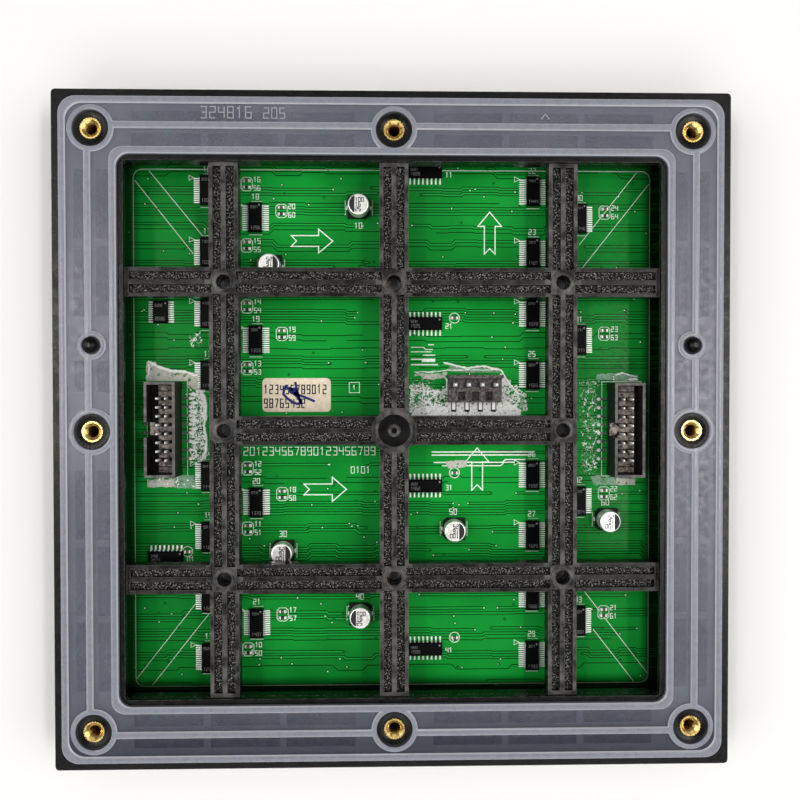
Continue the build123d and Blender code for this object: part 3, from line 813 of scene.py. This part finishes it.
FRAME_HALF = 76.4
CORNER_LINES = (
    ((-76.0, 73.2), (-58.9, 51.6)), ((-71.8, 76.0), (-56.1, 56.8)),
    ((72.4, 76.1), (55.3, 54.6)), ((76.2, 72.8), (56.3, 47.8)),
    ((-76.2, -74.1), (-58.7, -51.8)), ((-71.7, -76.2), (-54.8, -54.9)),
    ((57.2, -49.0), (76.2, -73.7)), ((59.8, -60.3), (72.2, -76.3)),
)
PAIR_DROP = 1.9
TINNED_LINES = (
    ([(11.3, -7.0), (41.9, -7.0)], 0.42), ([(11.3, -7.9), (41.9, -7.9)], 0.42),
    ([(11.9, -10.1), (32.5, -10.1), (33.3, -9.3), (39.4, -9.3)], 0.36),
    ([(14.4, -11.1), (32.0, -11.1), (33.0, -10.1), (36.0, -10.1)], 0.3),
    ([(10.3, 24.9), (12.0, 24.9)], 0.3), ([(5.2, 24.1), (9.0, 24.1), (9.5, 23.5), (11.7, 23.5)], 0.24),
    ([(5.2, 22.8), (11.3, 22.8)], 0.24), ([(8.7, 21.8), (12.4, 21.8)], 0.3),
    ([(5.2, 20.6), (8.4, 20.6)], 0.3), ([(8.4, 20.3), (12.4, 20.3)], 0.95),
    ([(5.2, 19.0), (13.2, 19.0)], 0.36),
)


def loose_centres(node):
    """Middles of the separate solids of a node, in millimetres, from left to right."""
    work = bmesh.new()
    work.from_mesh(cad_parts[node].data)
    bmesh.ops.remove_doubles(work, verts=work.verts, dist=0.001 * MM)
    left = set(work.verts)
    centres = []
    while left:
        waiting = [left.pop()]
        solid = []
        while waiting:
            vertex = waiting.pop()
            solid.append(vertex.co / MM)
            near = {edge.other_vert(vertex) for edge in vertex.link_edges} & left
            left -= near
            waiting += near
        centres.append(tuple((min(p[i] for p in solid) + max(p[i] for p in solid)) / 2 for i in range(3)))
    work.free()
    return sorted(centres)


def make_legend():
    """White printed lines: frame, corner lines, arrows, outlines and plain numbers."""
    shape = Shape()
    print_line(shape, rounded_square(FRAME_HALF, 2.6, 5), 0.2, True)
    for ends in CORNER_LINES:
        print_line(shape, ends, 0.18)
    outline_arrow(shape, (-30.2, 55.5), (-17.9, 55.5))
    outline_arrow(shape, (28.6, 51.8), (28.6, 64.2))
    outline_arrow(shape, (-26.6, -18.0), (-14.0, -18.0), 7.2)
    outline_arrow(shape, (24.9, -18.4), (24.9, -5.8))
    for index, node in enumerate(DRIVERS, start=10):
        low, high = cad_box(node)
        pin_one_mark(shape, low.x - 2.6, high.y - 0.6, 1.5)
        write_digits(shape, str(index), low.x + 0.9, high.y + 1.2, 1.5)
        print_line(shape, [(low.x, low.y - 0.6), (high.x, low.y - 0.6)], 0.14)
        print_line(shape, [((low.x + high.x) / 2 - 1.2, high.y + 0.55), (high.x, high.y + 0.55)], 0.14)
    resistors = loose_centres("chip_resistors")
    for index, (x, y, _) in enumerate(resistors, start=10):
        print_line(shape, rectangle(x, y + PAIR_DROP / 2, 3.3, 3.9, 0.7), 0.16, True)
        write_digits(shape, str(index), x + 2.1, y + 1.6, 1.4)
        write_digits(shape, str(index + 40), x + 2.1, y - 0.9, 1.4)
    for x, y, _ in loose_centres("chip_capacitors"):
        if all(math.hypot(x - a, y - b) > 3.0 for a, b, _ in resistors):
            print_line(shape, circle(1.5, x, y, 20), 0.18, True)
    for node in CANS:
        x, y, _ = middle(node)
        write_digits(shape, node[-1] + "0", x - 1.2, y - 6.0 if y > 0 else y + 4.2, 1.6)
        for side in (-4.0, 4.0):
            print_line(shape, [(x + side, y - 2.2), (x + side, y + 2.2)], 0.15)
    for header in HEADERS:
        low, high = cad_box(header + "_housing")
        x, y, _ = (low + high) / 2
        print_line(shape, rectangle(x, y, high.x - low.x + 3.0, high.y - low.y + 0.8), 0.16, True)
        write_digits(shape, "0124", x - 3.0, low.y - 2.6, 1.7)
    for node, number in zip(ROW_CHIPS + ["decoder_chip"], ("11", "21", "31", "41", "01")):
        low, high = cad_box(node)
        pin_one_mark(shape, low.x - 1.2, low.y - 0.4, 1.4)
        write_digits(shape, number, high.x + 1.2, low.y + 0.6, 1.4)
    print_line(shape, rectangle(-11.6, 12.2, 3.0, 3.0), 0.18, True)
    write_digits(shape, "1", -12.0, 11.6, 1.2)
    write_digits(shape, "201234567890123456789", -44.3, -7.8, 2.35)
    write_digits(shape, "0101", -12.6, -13.2, 1.9)
    for path, width in TINNED_LINES:
        shape.ribbon(path, width, LEGEND_Z - 0.03, LEGEND_Z + 0.01)
    shape.build("board_legend", [LEGEND])


# Chips: leads, pads and markings

def add_leads(shape, node, count, pitch, along_x, span, width, thick, exit_height, pad_end):
    """Both rows of gull-wing leads of one chip, on their pads. along_x: they stick out along X."""
    low, high = cad_box(node)
    centre = (low + high) / 2
    body = (high.x - low.x if along_x else high.y - low.y) / 2
    foot = 0.65
    z = BOARD_Z + 0.03
    reach = span / 2
    knee = reach - foot
    profile = [
        (body - 0.15, exit_height), (body - 0.15, exit_height + thick), (body + 0.18, exit_height + thick),
        (knee + thick * 0.5, thick), (reach, thick), (reach, 0.0), (knee - thick * 0.3, 0.0),
        (body + 0.05, exit_height),
    ]
    pad = width / 2 + 0.03

    def place(along, across, height):
        if along_x:
            return centre.x + along, centre.y + across, height
        return centre.x + across, centre.y + along, height

    for index in range(count):
        shift = (index - (count - 1) / 2) * pitch
        for out in (-1, 1):
            sides = (shift - width / 2, shift + width / 2)
            shape.loft([[place(out * r, side, z + h) for r, h in profile] for side in sides])
            near, far = out * (knee - 0.35), out * pad_end
            shape.box(place(near, shift - pad, BOARD_Z - 0.01), place(far, shift + pad, z))


def make_leads():
    drivers = Shape()
    for node in DRIVERS:
        add_leads(drivers, node, 12, 0.635, True, 6.0, 0.28, 0.18, 0.7, 3.9)
    drivers.build("driver_leads", [TIN])
    others = Shape()
    for node in ROW_CHIPS + ["decoder_chip"]:
        add_leads(others, node, 8, 1.27, False, 6.0, 0.42, 0.2, 0.75, 3.5)
    add_leads(others, "buffer_chip", 10, 0.65, True, 6.4, 0.26, 0.15, 0.45, 3.7)
    others.build("chip_leads", [TIN])


def make_markings():
    """Faint plain numbers and a pin-one dot on the chips."""
    shape = Shape()
    for index, node in enumerate(ALL_CHIPS):
        low, high = cad_box(node)
        z = high.z + 0.012
        number = str(1000 + 37 * index)
        write_digits(shape, number, low.x + 0.7, low.y + 0.8, 0.9, 0.1, z)
        write_digits(shape, number[::-1], low.x + 0.7, high.y - 1.7, 0.7, 0.09, z)
        shape.prism(circle(0.28, high.x - 0.75, high.y - 0.75, 12), high.z - 0.02, z)
    shape.build("chip_markings", [CHIP_MARK])


# Capacitors, small chips and headers

MARKED_LEFT = ("capacitor_1", "capacitor_4")


def make_capacitor(node):
    """Aluminium can with a rolled groove, black base with tabs, and a printed top."""
    low, high = cad_box(node)
    x, y, _ = (low + high) / 2
    side = -1 if node in MARKED_LEFT else 1
    base = low.z + 1.3
    top = high.z
    radius = 3.15
    groove = radius - 0.22
    can = Shape()
    can.lathe([
        (0.0, base - 0.1), (radius - 0.15, base - 0.1), (radius, base + 0.1), (radius, base + 0.45),
        (groove, base + 0.65), (groove, base + 0.85), (radius, base + 1.05), (radius, top - 0.42),
        (radius - 0.06, top - 0.22), (radius - 0.2, top - 0.08), (radius - 0.42, top - 0.02),
        (radius - 0.6, top - 0.02), (0.0, top - 0.02),
    ], x, y, 48)
    edge = radius - 0.42
    arc = [math.acos(0.42) * (1 - i / 8) for i in range(17)]
    segment = [(x + side * edge * math.cos(a), y - side * edge * math.sin(a)) for a in arc]
    can.prism(segment, top - 0.03, top - 0.004, 1)
    for row, text in enumerate(("100", "16", "25")):
        line = y - side * (0.75 - 1.38 * row)
        write_digits(can, text, x + side * 0.9, line, 1.1, 0.22, top - 0.006, 1, side > 0, 0.014, 1.05)
    can.build(f"{node}_can", [CAN, BLACK_INK_AND_SHADE], 35, [node])
    foot = Shape()
    half = (high.x - low.x) / 2
    cut = half - 1.3
    corners = [(-half, -half), (cut, -half), (half, -cut), (half, cut), (cut, half), (-half, half)]
    foot.prism([(x - side * a, y - side * b) for a, b in corners], low.z + 0.05, base - 0.02)
    for end in (-1, 1):
        foot.box((x + end * 2.0, y - 0.45, low.z), (x + end * half, y + 0.45, low.z + 0.2), 1)
        near, far = x + end * (half - 1.2), x + end * (half + 0.4)
        foot.box((near, y - 0.55, BOARD_Z - 0.01), (far, y + 0.55, BOARD_Z + 0.05), 1)
    foot.build(f"{node}_base", [HEADER, TIN])


def make_small_chips(node, material, height, name):
    """Small chips of one kind, with tinned ends and solder fillets."""
    half_x, half_y = 0.8, 0.4
    low, top = BOARD_Z, BOARD_Z + height
    shape = Shape()
    for x, y, _ in loose_centres(node):
        body_x, body_y = half_x - 0.3, half_y - 0.02
        shape.box((x - body_x, y - body_y, low), (x + body_x, y + body_y, top - 0.03))
        for end in (-1, 1):
            tip = x + end * half_x
            shape.box((tip - end * 0.32, y - half_y, low), (tip, y + half_y, top), 1)
            fillet = ((tip, low), (tip + end * 0.42, low), (tip, top - 0.15))
            shape.loft([[(a, y + side, z) for a, z in fillet] for side in (-half_y, half_y)], 1)
    shape.build(name, [material, TIN], 20, [node])


HEADER_PITCH = 2.54
HEADER_ROWS = [(index - 3.5) * HEADER_PITCH for index in range(8)]
POST_WIDTH = 0.64
LEAD_REACH = 2.6
POWER_POST_HALF = 0.57
POWER_COLUMNS = [cad_box("power_header_posts")[0].x + POWER_POST_HALF + index * 3.96 for index in range(4)]


def add_post(shape, x, y, low, top, half):
    """A square post with a pointed tip."""
    shoulder = top - 1.4 * half
    square = rectangle(x, y, 2 * half, 2 * half)
    shape.prism(square, low, shoulder)
    shape.prism(square, shoulder, top, 0, 0.45)


def make_power_pins():
    """Four stout posts, each with a flat lead that comes out at the header's foot."""
    low, high = cad_box("power_header_posts")
    back = high.y - POWER_POST_HALF
    shape = Shape()
    for x in POWER_COLUMNS:
        add_post(shape, x, back, BOARD_Z + 0.1, high.z, POWER_POST_HALF)
        shape.box((x - 0.48, low.y, BOARD_Z + 0.02), (x + 0.48, back, BOARD_Z + 0.6))
    shape.build("power_header_pins", [TIN], None, ["power_header_posts"])


def make_header_pins(header):
    """Two rows of posts, each with a flat lead that comes out at the header's foot."""
    low, high = cad_box(header + "_housing")
    top = cad_box(header + "_posts")[1].z
    centre = (low + high) / 2
    shape = Shape()
    for row in HEADER_ROWS:
        y = centre.y + row
        for side in (-1, 1):
            x = centre.x + side * HEADER_PITCH / 2
            end = centre.x + side * (high.x - centre.x + LEAD_REACH)
            add_post(shape, x, y, BOARD_Z + 0.1, top, POST_WIDTH / 2)
            shape.box((x, y - 0.22, BOARD_Z + 0.02), (end, y + 0.22, BOARD_Z + 0.3))
    shape.build(header + "_pins", [POST], None, [header + "_posts"])


def add_bead(shape, x, y, half_x, half_y, height, mark=0):
    """A low rounded lump, such as a solder joint, that sits on the board."""
    rings = []
    for level in range(6):
        angle = level * math.pi / 10
        level_x, level_y = half_x * math.cos(angle), half_y * math.cos(angle)
        z = BOARD_Z + height * math.sin(angle)
        rings.append([(x + level_x * cos, y + level_y * sin, z) for cos, sin in circle(1.0, steps=14)])
    shape.loft(rings, mark)


def make_header_details():
    """Dust on the shroud floors, solder at the ends of the leads, and painted shade: bare dark post rows in
    the dust, dull low beads on the outer sides, and black strips, frames and lines on the power header, under
    and at the ends of its leads, round its posts and along its face.
    """
    dust = Shape()
    solder = Shape()
    for header in HEADERS:
        low, high = cad_box(header + "_housing")
        x, y, _ = (low + high) / 2
        floor = low.z + 2.6
        # Dust pads between the post rows; the post rows are left bare and dark as painted shadow of the
        # posts.
        for shift in [(index - 4) * HEADER_PITCH for index in range(9)] + [-11.95, 11.95]:
            pad = [(x - 1.9, y + shift - 0.75), (x + 3.1, y + shift - 0.85), (x + 3.1, y + shift + 0.8),
                   (x - 1.9, y + shift + 0.75)]
            dust.prism(pad, floor - 0.02, floor + 0.35, 0, 0.93)
        notch = [(low.x + 0.1, y - 1.9), (low.x + 1.5, y - 1.8), (x - 1.7, y - 0.8), (x - 1.7, y + 0.8),
                 (low.x + 1.5, y + 1.9), (low.x + 0.1, y + 2.0)]
        dust.prism(notch, floor - 0.02, floor + 0.45, 0, 0.95)
        for row in HEADER_ROWS:
            for side in (-1, 1):
                end = x + side * (high.x - x + LEAD_REACH - 0.2)
                # Painted shade: beads on the outer side, which lie in shadow, are lower and take the dull
                # post finish.
                lit_inner_side = end * side < 0
                add_bead(solder, end, y + row, 0.58, 0.55, 0.55 if lit_inner_side else 0.4, 0 if lit_inner_side else 1)
    low, high = cad_box("power_header_posts")
    back = high.y - POWER_POST_HALF
    face = BOARD_Z + 4.6
    for x in POWER_COLUMNS:
        # Painted shade in black: a strip under each lead and a block at its end.
        solder.ribbon([(x, low.y - 0.15), (x, low.y + 2.8)], 1.5, BOARD_Z, BOARD_Z + 0.3, 2)
        solder.box((x - 0.5, low.y + 0.001, BOARD_Z + 0.3), (x + 0.5, low.y + 0.5, BOARD_Z + 0.62), 2)
        # Painted shade in black on the face: a frame round each post and a short line beside it, for wells
        # and slots.
        solder.ribbon(rectangle(x - 0.85, back, 0.6, 1.2), 0.6, face - 0.018, face + 0.012, 2, True)
        solder.ribbon([(x - 0.8, high.y - 1.3), (x + 0.8, high.y - 1.3)], 0.25, face - 0.02, face + 0.012, 2)
    low, high = cad_box("power_header_housing")
    # Painted shade in black: a line along the foot of the back wall.
    line = high.y - 1.12
    solder.ribbon([(low.x + 0.3, line), (high.x - 0.3, line)], 0.24, face - 0.02, face + 0.012, 2)
    dust.build("header_dust", [DUST], 30)
    solder.build("solder_beads_and_painted_shade", [SOLDER, POST, BLACK_INK_AND_SHADE], 60)


# White coating and label

# Name, numbers of the finish, height over the board, and outlines
FILMS = (
    ("thin", ((0.30, 0.52, 0.36), 0.6, 0.30, 0.50, 2.0), 0.04, (
        [(60.6, 16.1), (64.8, 16.3), (69.8, 16.1), (73.0, 15.7), (73.0, 14.1), (68.4, 14.1), (60.6, 14.7)],
        [(58.9, -14.5), (61.4, -14.1), (66.0, -14.7), (66.5, -16.8), (59.9, -17.0)],
        [(-64.9, -14.3), (-61.8, -13.6), (-59.0, -13.8), (-58.3, -17.6), (-64.9, -17.4)],
        [(16.0, 17.2), (22.0, 16.6), (32.0, 16.8), (31.0, 18.0), (22.0, 18.2), (17.0, 19.0)],
    )),
    ("sparse", ((0.70, 0.80, 0.70), 0.9, 0.56, 0.62, 0.5), 0.06, (
        [(55.4, 14.0), (61.5, 14.5), (61.2, 9.5), (60.6, 2.1), (61.0, -13.8), (55.8, -13.8), (56.4, -4.0),
         (55.6, 4.0)],
        [(-60.8, 27.5), (-57.0, 28.0), (-56.5, 24.5), (-59.5, 24.0)],
        [(-60.4, -1.0), (-55.0, -1.0), (-54.6, -10.6), (-60.0, -11.0)],
        [(5.0, 15.0), (12.0, 14.4), (12.0, 12.0), (5.0, 12.0)],
    )),
    ("broken", ((0.88, 0.92, 0.88), 0.95, 0.50, 0.55, 0.6), 0.08, (
        [(-59.4, 8.6), (-57.6, 8.0), (-56.2, 3.0), (-55.4, -0.8), (-55.2, -4.7), (-55.5, -9.6), (-57.6, -9.7),
         (-59.6, -4.8)],
        [(5.0, 12.7), (8.0, 13.6), (12.0, 11.6), (16.0, 12.0), (16.3, 5.7), (4.7, 4.6)],
        [(33.0, 16.0), (35.5, 12.7), (39.5, 10.5), (40.0, 5.0), (34.0, 5.0), (33.0, 9.0)],
    )),
    ("cloudy", ((0.60, 0.62, 0.54), 0.85, 0.36, 0.46, 1.3), 0.10, (
        [(-72.9, 14.4), (-72.7, 20.0), (-70.4, 19.8), (-69.2, 18.1), (-65.8, 17.2), (-58.8, 16.0),
         (-57.4, 15.8), (-57.3, 11.6), (-58.8, 11.6), (-60.9, 12.8), (-60.9, 14.2)],
        [(-72.6, -15.0), (-64.9, -14.8), (-64.7, -17.1), (-72.6, -17.2)],
        [(6.2, 16.4), (13.7, 16.4), (16.0, 16.9), (16.0, 16.2), (14.5, 14.7), (8.7, 14.7), (8.0, 15.7),
         (6.2, 15.6)],
        [(66.4, -14.9), (72.4, -15.1), (72.2, -17.0), (66.5, -17.0)],
        [(15.4, -9.8), (22.0, -9.4), (21.4, -11.6), (16.4, -11.9)],
    )),
    ("thick", ((0.95, 0.96, 0.94), 1.0, 0.40, 0.46, 0.8), 0.13, (
        [(6.2, 5.7), (9.0, 6.6), (15.4, 7.0), (16.2, 8.6), (31.4, 8.6), (31.9, 16.6), (33.0, 15.3),
         (33.8, 12.7), (33.0, 10.3), (34.3, 7.5), (38.0, 5.6), (38.0, 3.4), (5.0, 3.4)],
        [(-58.4, 11.4), (-56.4, 11.8), (-55.4, 7.9), (-55.1, 3.7), (-55.8, 0.9), (-56.4, 3.0), (-57.2, 7.0)],
    )),
)
# Path, width and height
STRANDS = (
    ([(14.8, 19.7), (16.0, 19.3), (21.7, 17.9), (26.4, 18.6), (32.0, 17.4), (33.0, 15.5), (34.9, 12.7),
      (37.0, 10.6), (39.4, 9.4)], 0.7, 0.35),
    ([(8.5, 13.9), (9.0, 11.3), (8.5, 8.5), (9.7, 7.5), (12.7, 10.6), (15.8, 11.3), (16.0, 14.4),
      (14.6, 15.8)], 0.5, 0.3),
    ([(5.2, 11.4), (9.5, 11.0), (12.5, 11.2), (15.6, 10.4)], 0.6, 0.25),
    ([(6.0, 16.8), (13.5, 16.9), (16.2, 17.4), (31.0, 17.4)], 0.4, 0.2),
    ([(-72.4, 20.0), (-69.6, 18.4), (-65.8, 17.2), (-61.6, 16.9), (-58.8, 16.0), (-57.8, 15.8)], 0.95, 0.3),
    ([(-72.3, 19.6), (-72.0, 17.6), (-72.6, 15.2)], 0.5, 0.25),
    ([(-56.8, 11.3), (-55.7, 9.3), (-55.3, 6.9), (-55.4, 3.7), (-55.9, 0.9), (-55.4, -1.9), (-55.3, -6.1),
      (-56.9, -9.6)], 0.8, 0.3),
    ([(66.0, 15.9), (68.4, 16.5), (70.6, 15.8), (72.8, 15.3)], 0.5, 0.3),
    ([(70.0, 14.5), (73.0, 14.5)], 0.8, 0.25),
)
# Middle, half size and number of lumps
LUMPY_SPOTS = (
    (-58.0, 4.5, 2.2, 7.0, 60), (-57.6, -5.5, 2.2, 4.5, 40), (58.6, 0.0, 2.6, 13.5, 36),
    (10.0, 8.8, 5.0, 4.0, 56), (21.5, 5.0, 14.5, 1.2, 70), (35.4, 9.5, 2.2, 5.0, 46),
    (-58.6, 26.2, 2.0, 1.6, 10), (-65.0, -16.0, 7.0, 1.2, 14),
)


def shaken(points, rng, reach):
    return [(x + rng.uniform(-reach, reach), y + rng.uniform(-reach, reach)) for x, y in points]


def add_strand(shape, path, width, height, rng):
    """A raised, uneven line of coating along a path."""
    fine = []
    for a, b in zip(path[:-1], path[1:]):
        fine += shaken(split(a, b, 0.7, 2), rng, 0.1)
    fine.append(path[-1])
    rings = []
    for i, (x, y) in enumerate(fine):
        nx, ny = corner_normal(fine, i)
        size = rng.uniform(0.55, 1.15) * (0.35 if i in (0, len(fine) - 1) else 1.0)
        ring = []
        for side in range(6):
            angle = math.pi * side / 5
            across = math.cos(angle) * width / 2 * size
            ring.append((x + nx * across, y + ny * across, BOARD_Z + 0.01 + math.sin(angle) * height * size))
        rings.append(ring)
    shape.loft(rings)


def curl(rng, x, y, reach):
    """The path of a short curly thread from a point."""
    angle = rng.uniform(0, 2 * math.pi)
    turn = rng.uniform(-0.9, 0.9)
    path = [(x, y)]
    for _ in range(rng.randint(2, 4)):
        step = rng.uniform(0.3, 0.6) * reach
        x += step * math.cos(angle)
        y += step * math.sin(angle)
        angle += turn
        path.append((x, y))
    return path


def ragged(outline, rng):
    """The same outline, counterclockwise, with an uneven edge."""
    area = sum(a[0] * b[1] - b[0] * a[1] for a, b in zip(outline, outline[1:] + outline[:1]))
    corners = outline if area > 0 else outline[::-1]
    points = []
    for a, b in zip(corners, corners[1:] + corners[:1]):
        points += shaken(split(a, b, 0.8), rng, 0.18)
    return points


def make_coating():
    """Dried coating round the headers: films, raised lines, curls and lumps."""
    rng = random.Random(3)
    for name, numbers, lift, outlines in FILMS:
        film = Shape()
        for index, outline in enumerate(outlines):
            film.prism(ragged(outline, rng), BOARD_Z + 0.01, BOARD_Z + lift + 0.004 * index)
        film.build(f"coating_{name}_film", [dried_coating(f"coating_{name}", *numbers)])
    lines = Shape()
    for path, width, height in STRANDS:
        add_strand(lines, path, width, height, rng)
    low, high = cad_box("data_header_left_housing")
    for index, row in enumerate(HEADER_ROWS):
        y = (low.y + high.y) / 2 + row
        add_bead(lines, high.x + 3.2, y, 0.5, 0.42, 0.35)
        if index > 2:
            add_strand(lines, [(high.x + 2.0, y + 1.2), (high.x + 4.6, y + 1.1)], 1.15, 0.3, rng)
    for x, y, reach_x, reach_y, count in LUMPY_SPOTS:
        for _ in range(count):
            px, py = x + rng.uniform(-reach_x, reach_x), y + rng.uniform(-reach_y, reach_y)
            if rng.random() < 0.6:
                add_strand(lines, curl(rng, px, py, 0.8), rng.uniform(0.14, 0.34), rng.uniform(0.1, 0.2), rng)
            size = rng.uniform(0.12, 0.36)
            add_bead(lines, px, py, size, size * rng.uniform(0.6, 1.2), rng.uniform(0.1, 0.25))
    lines.build("coating_strands", [STRAND], 60)


PEN_STROKES = (
    [(-31.8, 12.6), (-30.6, 11.6), (-29.4, 11.9), (-28.6, 10.8), (-29.3, 10.2), (-28.0, 9.0), (-27.5, 7.5)],
    [(-29.1, 13.9), (-28.7, 12.0), (-28.1, 9.7), (-27.3, 7.6)],
    [(-31.9, 12.7), (-32.4, 11.6), (-32.6, 10.3), (-31.4, 9.0), (-30.0, 8.0), (-28.6, 7.4), (-27.3, 7.6),
     (-27.4, 8.9)],
    [(-31.0, 11.2), (-29.4, 10.4), (-27.1, 9.7), (-24.9, 8.8), (-23.3, 8.1)],
    [(-30.9, 12.3), (-29.6, 11.2), (-28.4, 9.9)],
)


def make_label():
    """A paper label with round corners, plain numbers and a scribble of pen."""
    low, high = cad_box("paper_label")
    centre = (low + high) / 2
    stretch = (high.x - low.x - high.y + low.y) / 2
    square = rounded_square((high.y - low.y) / 2, 1.3, 6)
    outline = [(centre.x + x + math.copysign(stretch, x), centre.y + y) for x, y in square]
    print_z = high.z - 0.015
    shape = Shape()
    shape.prism(outline, low.z, high.z - 0.03)
    for digits, y in (("123456789012", high.y - 4.6), ("98765432", low.y + 1.3)):
        write_digits(shape, digits, low.x + 0.6, y, 2.5, 0.36, print_z, 1, width=0.66)
    for path in PEN_STROKES:
        shape.ribbon(path, 0.75, print_z, high.z - 0.001, 2)
    shape.build("label_sheet", [PAPER, BLACK_INK_AND_SHADE, PEN], None, ["paper_label"])


# Front face: windows, louvres and emitters

PIXEL_PITCH = 6.0
PIXEL_COUNT = 32
PIXEL_PLACES = [(index - (PIXEL_COUNT - 1) / 2) * PIXEL_PITCH for index in range(PIXEL_COUNT)]
WINDOW_HALF = 1.6


def make_mask():
    """Face plate with a square window for each emitter, and a louvre over each row."""
    half = MASK_HIGH.x
    front = MASK_LOW.z + 1.4
    back = BOARD_LOW.z
    edges = [-half]
    for place in PIXEL_PLACES:
        edges += [place - WINDOW_HALF, place + WINDOW_HALF]
    edges.append(half)
    size = len(edges)
    last = size - 1
    faces = []

    def wall(a, b):
        """A face between front and back, over the edge from one grid point to another."""
        start, end = a[1] * size + a[0], b[1] * size + b[0]
        faces.append((start, end, end + size * size, start + size * size))

    for row in range(last):
        for column in range(last):
            corners = [(column, row), (column + 1, row), (column + 1, row + 1), (column, row + 1)]
            if column % 2 and row % 2:
                for a, b in zip(corners, corners[1:] + corners[:1]):
                    wall(a, b)
                continue
            flat = [b * size + a for a, b in corners]
            faces.append(tuple(flat[::-1]))
            faces.append(tuple(index + size * size for index in flat))
    for i in range(last):
        wall((i + 1, 0), (i, 0))
        wall((last, i + 1), (last, i))
        wall((i, last), (i + 1, last))
        wall((0, i), (0, i + 1))
    shape = Shape()
    shape.add([(x, y, z) for z in (front, back) for y in edges for x in edges], faces)
    reach = half - 2.2
    for place in PIXEL_PLACES:
        y = place + WINDOW_HALF
        profile = [(y, front + 0.01), (y + 0.15, MASK_LOW.z), (y + 0.55, MASK_LOW.z), (y + 0.9, front + 0.01)]
        shape.loft([[(x, a, z) for a, z in profile] for x in (-reach, reach)])
    stud = [(1.25, back - 1.5), (2.2, back - 1.5), (2.2, MASK_HIGH.z), (1.25, MASK_HIGH.z)]
    for x, y in SCREW_PLACES:
        shape.lathe(stud, x, y, 24)
    shape.build("mask_grille", [MASK], None, ["front_mask"])


def make_emitters():
    """One package behind each window: white frame, round well and clear resin."""
    half, well, well_depth, steps = 1.35, 1.1, 0.25, 12
    front = cad_box("led_rows")[0].z
    rays = circle(1.0, 0.0, 0.0, steps, math.pi / steps)
    frame_outline = [(half * c / max(abs(c), abs(s)), half * s / max(abs(c), abs(s))) for c, s in rays]
    well_outline = [(well * c, well * s) for c, s in rays]
    levels = ((frame_outline, BOARD_LOW.z), (frame_outline, front), (well_outline, front),
              (well_outline, front + well_depth))
    shape = Shape()
    for y in PIXEL_PLACES:
        for x in PIXEL_PLACES:
            rings = [[(x + a, y + b, z) for a, b in outline] for outline, z in levels]
            shape.loft(rings, caps=False)
            shape.add(rings[0], [tuple(range(steps))])
            shape.add(rings[-1], [tuple(range(steps))], 1)
    shape.build("emitters", [WHITE_PACKAGE, CLEAR_RESIN], None, ["led_rows"])


# Floor, lights and camera, in metres

def make_floor():
    size = 8.0
    mesh = bpy.data.meshes.new("floor")
    mesh.from_pydata(raised(rectangle(0.0, 0.0, size, size), 0.0), [], [(0, 1, 2, 3)])
    mesh.materials.append(Paint("floor_pale", (0.82, 0.82, 0.81), 0.85).material)
    add_object("floor", mesh)


LAMP_HEIGHT = 1.3
# Name, place along X and Y, width, depth, watts and colour
LAMPS = (
    ("soft_left", -1.15, 0.0, 1.5, 0.9, 11, (1.0, 1.0, 1.0)),
    ("soft_right", 1.15, 0.0, 1.5, 0.9, 11, (1.0, 1.0, 1.0)),
    ("soft_low", 0.0, -1.15, 1.6, 0.8, 10, (1.0, 1.0, 1.0)),
    ("soft_high", 0.0, 1.2, 1.6, 0.8, 3, (1.0, 1.0, 1.0)),
    ("sheen_left", -0.60, 0.074, 0.36, 0.1, 3.2, (1.0, 0.95, 0.86)),
    ("sheen_right", 0.60, -0.02, 0.56, 0.1, 4.8, (1.0, 0.95, 0.90)),
    ("sheen_high", 0.0, 0.475, 1.1, 0.07, 0.7, (1.0, 1.0, 1.0)),
)


def make_lights():
    """A dim room, broad soft lamps round the module, and narrow ones that shine in its gloss."""
    world = bpy.data.worlds.new("room")
    world.use_nodes = True
    background = world.node_tree.nodes["Background"]
    background.inputs["Color"].default_value = (0.95, 0.98, 1.0, 1.0)
    background.inputs["Strength"].default_value = 0.12
    bpy.context.scene.world = world
    for name, x, y, width, depth, watts, color in LAMPS:
        light = bpy.data.lights.new(name, "AREA")
        light.shape = "RECTANGLE"
        light.size = width
        light.size_y = depth
        light.energy = watts
        light.color = color
        lamp = add_object(name, light)
        lamp.location = (x, y, LAMP_HEIGHT)
        lamp.rotation_euler = (-Vector((x, y, LAMP_HEIGHT))).to_track_quat("-Z", "Y").to_euler()


def make_camera():
    """A near view from straight above, as in the photograph."""
    focal_pixels = 842.0
    picture_pixels = 800.0
    sensor = 36.0
    data = bpy.data.cameras.new("camera")
    data.sensor_width = sensor
    data.lens = focal_pixels / picture_pixels * sensor
    data.clip_start = 0.01
    camera = add_object("camera", data)
    camera.location = (-3.87 * MM, 12.38 * MM, 256.2 * MM)
    camera.rotation_euler = [math.radians(angle) for angle in (-0.888, -1.329, -0.046)]
    bpy.context.scene.camera = camera


paint_cad()
make_gasket()
make_gasket_marks()
make_inserts()
make_round_rims()
make_vias(make_tracks())
make_legend()
make_leads()
make_markings()
for can_node in CANS:
    make_capacitor(can_node)
make_small_chips("chip_capacitors", CERAMIC, 0.7, "ceramic_chips")
make_small_chips("chip_resistors", RESISTOR, 0.5, "resistor_chips")
for header_node in HEADERS:
    make_header_pins(header_node)
make_power_pins()
make_header_details()
make_coating()
make_label()
make_mask()
make_emitters()
make_floor()
make_lights()
make_camera()
bpy.context.scene.view_settings.view_transform = "Standard"
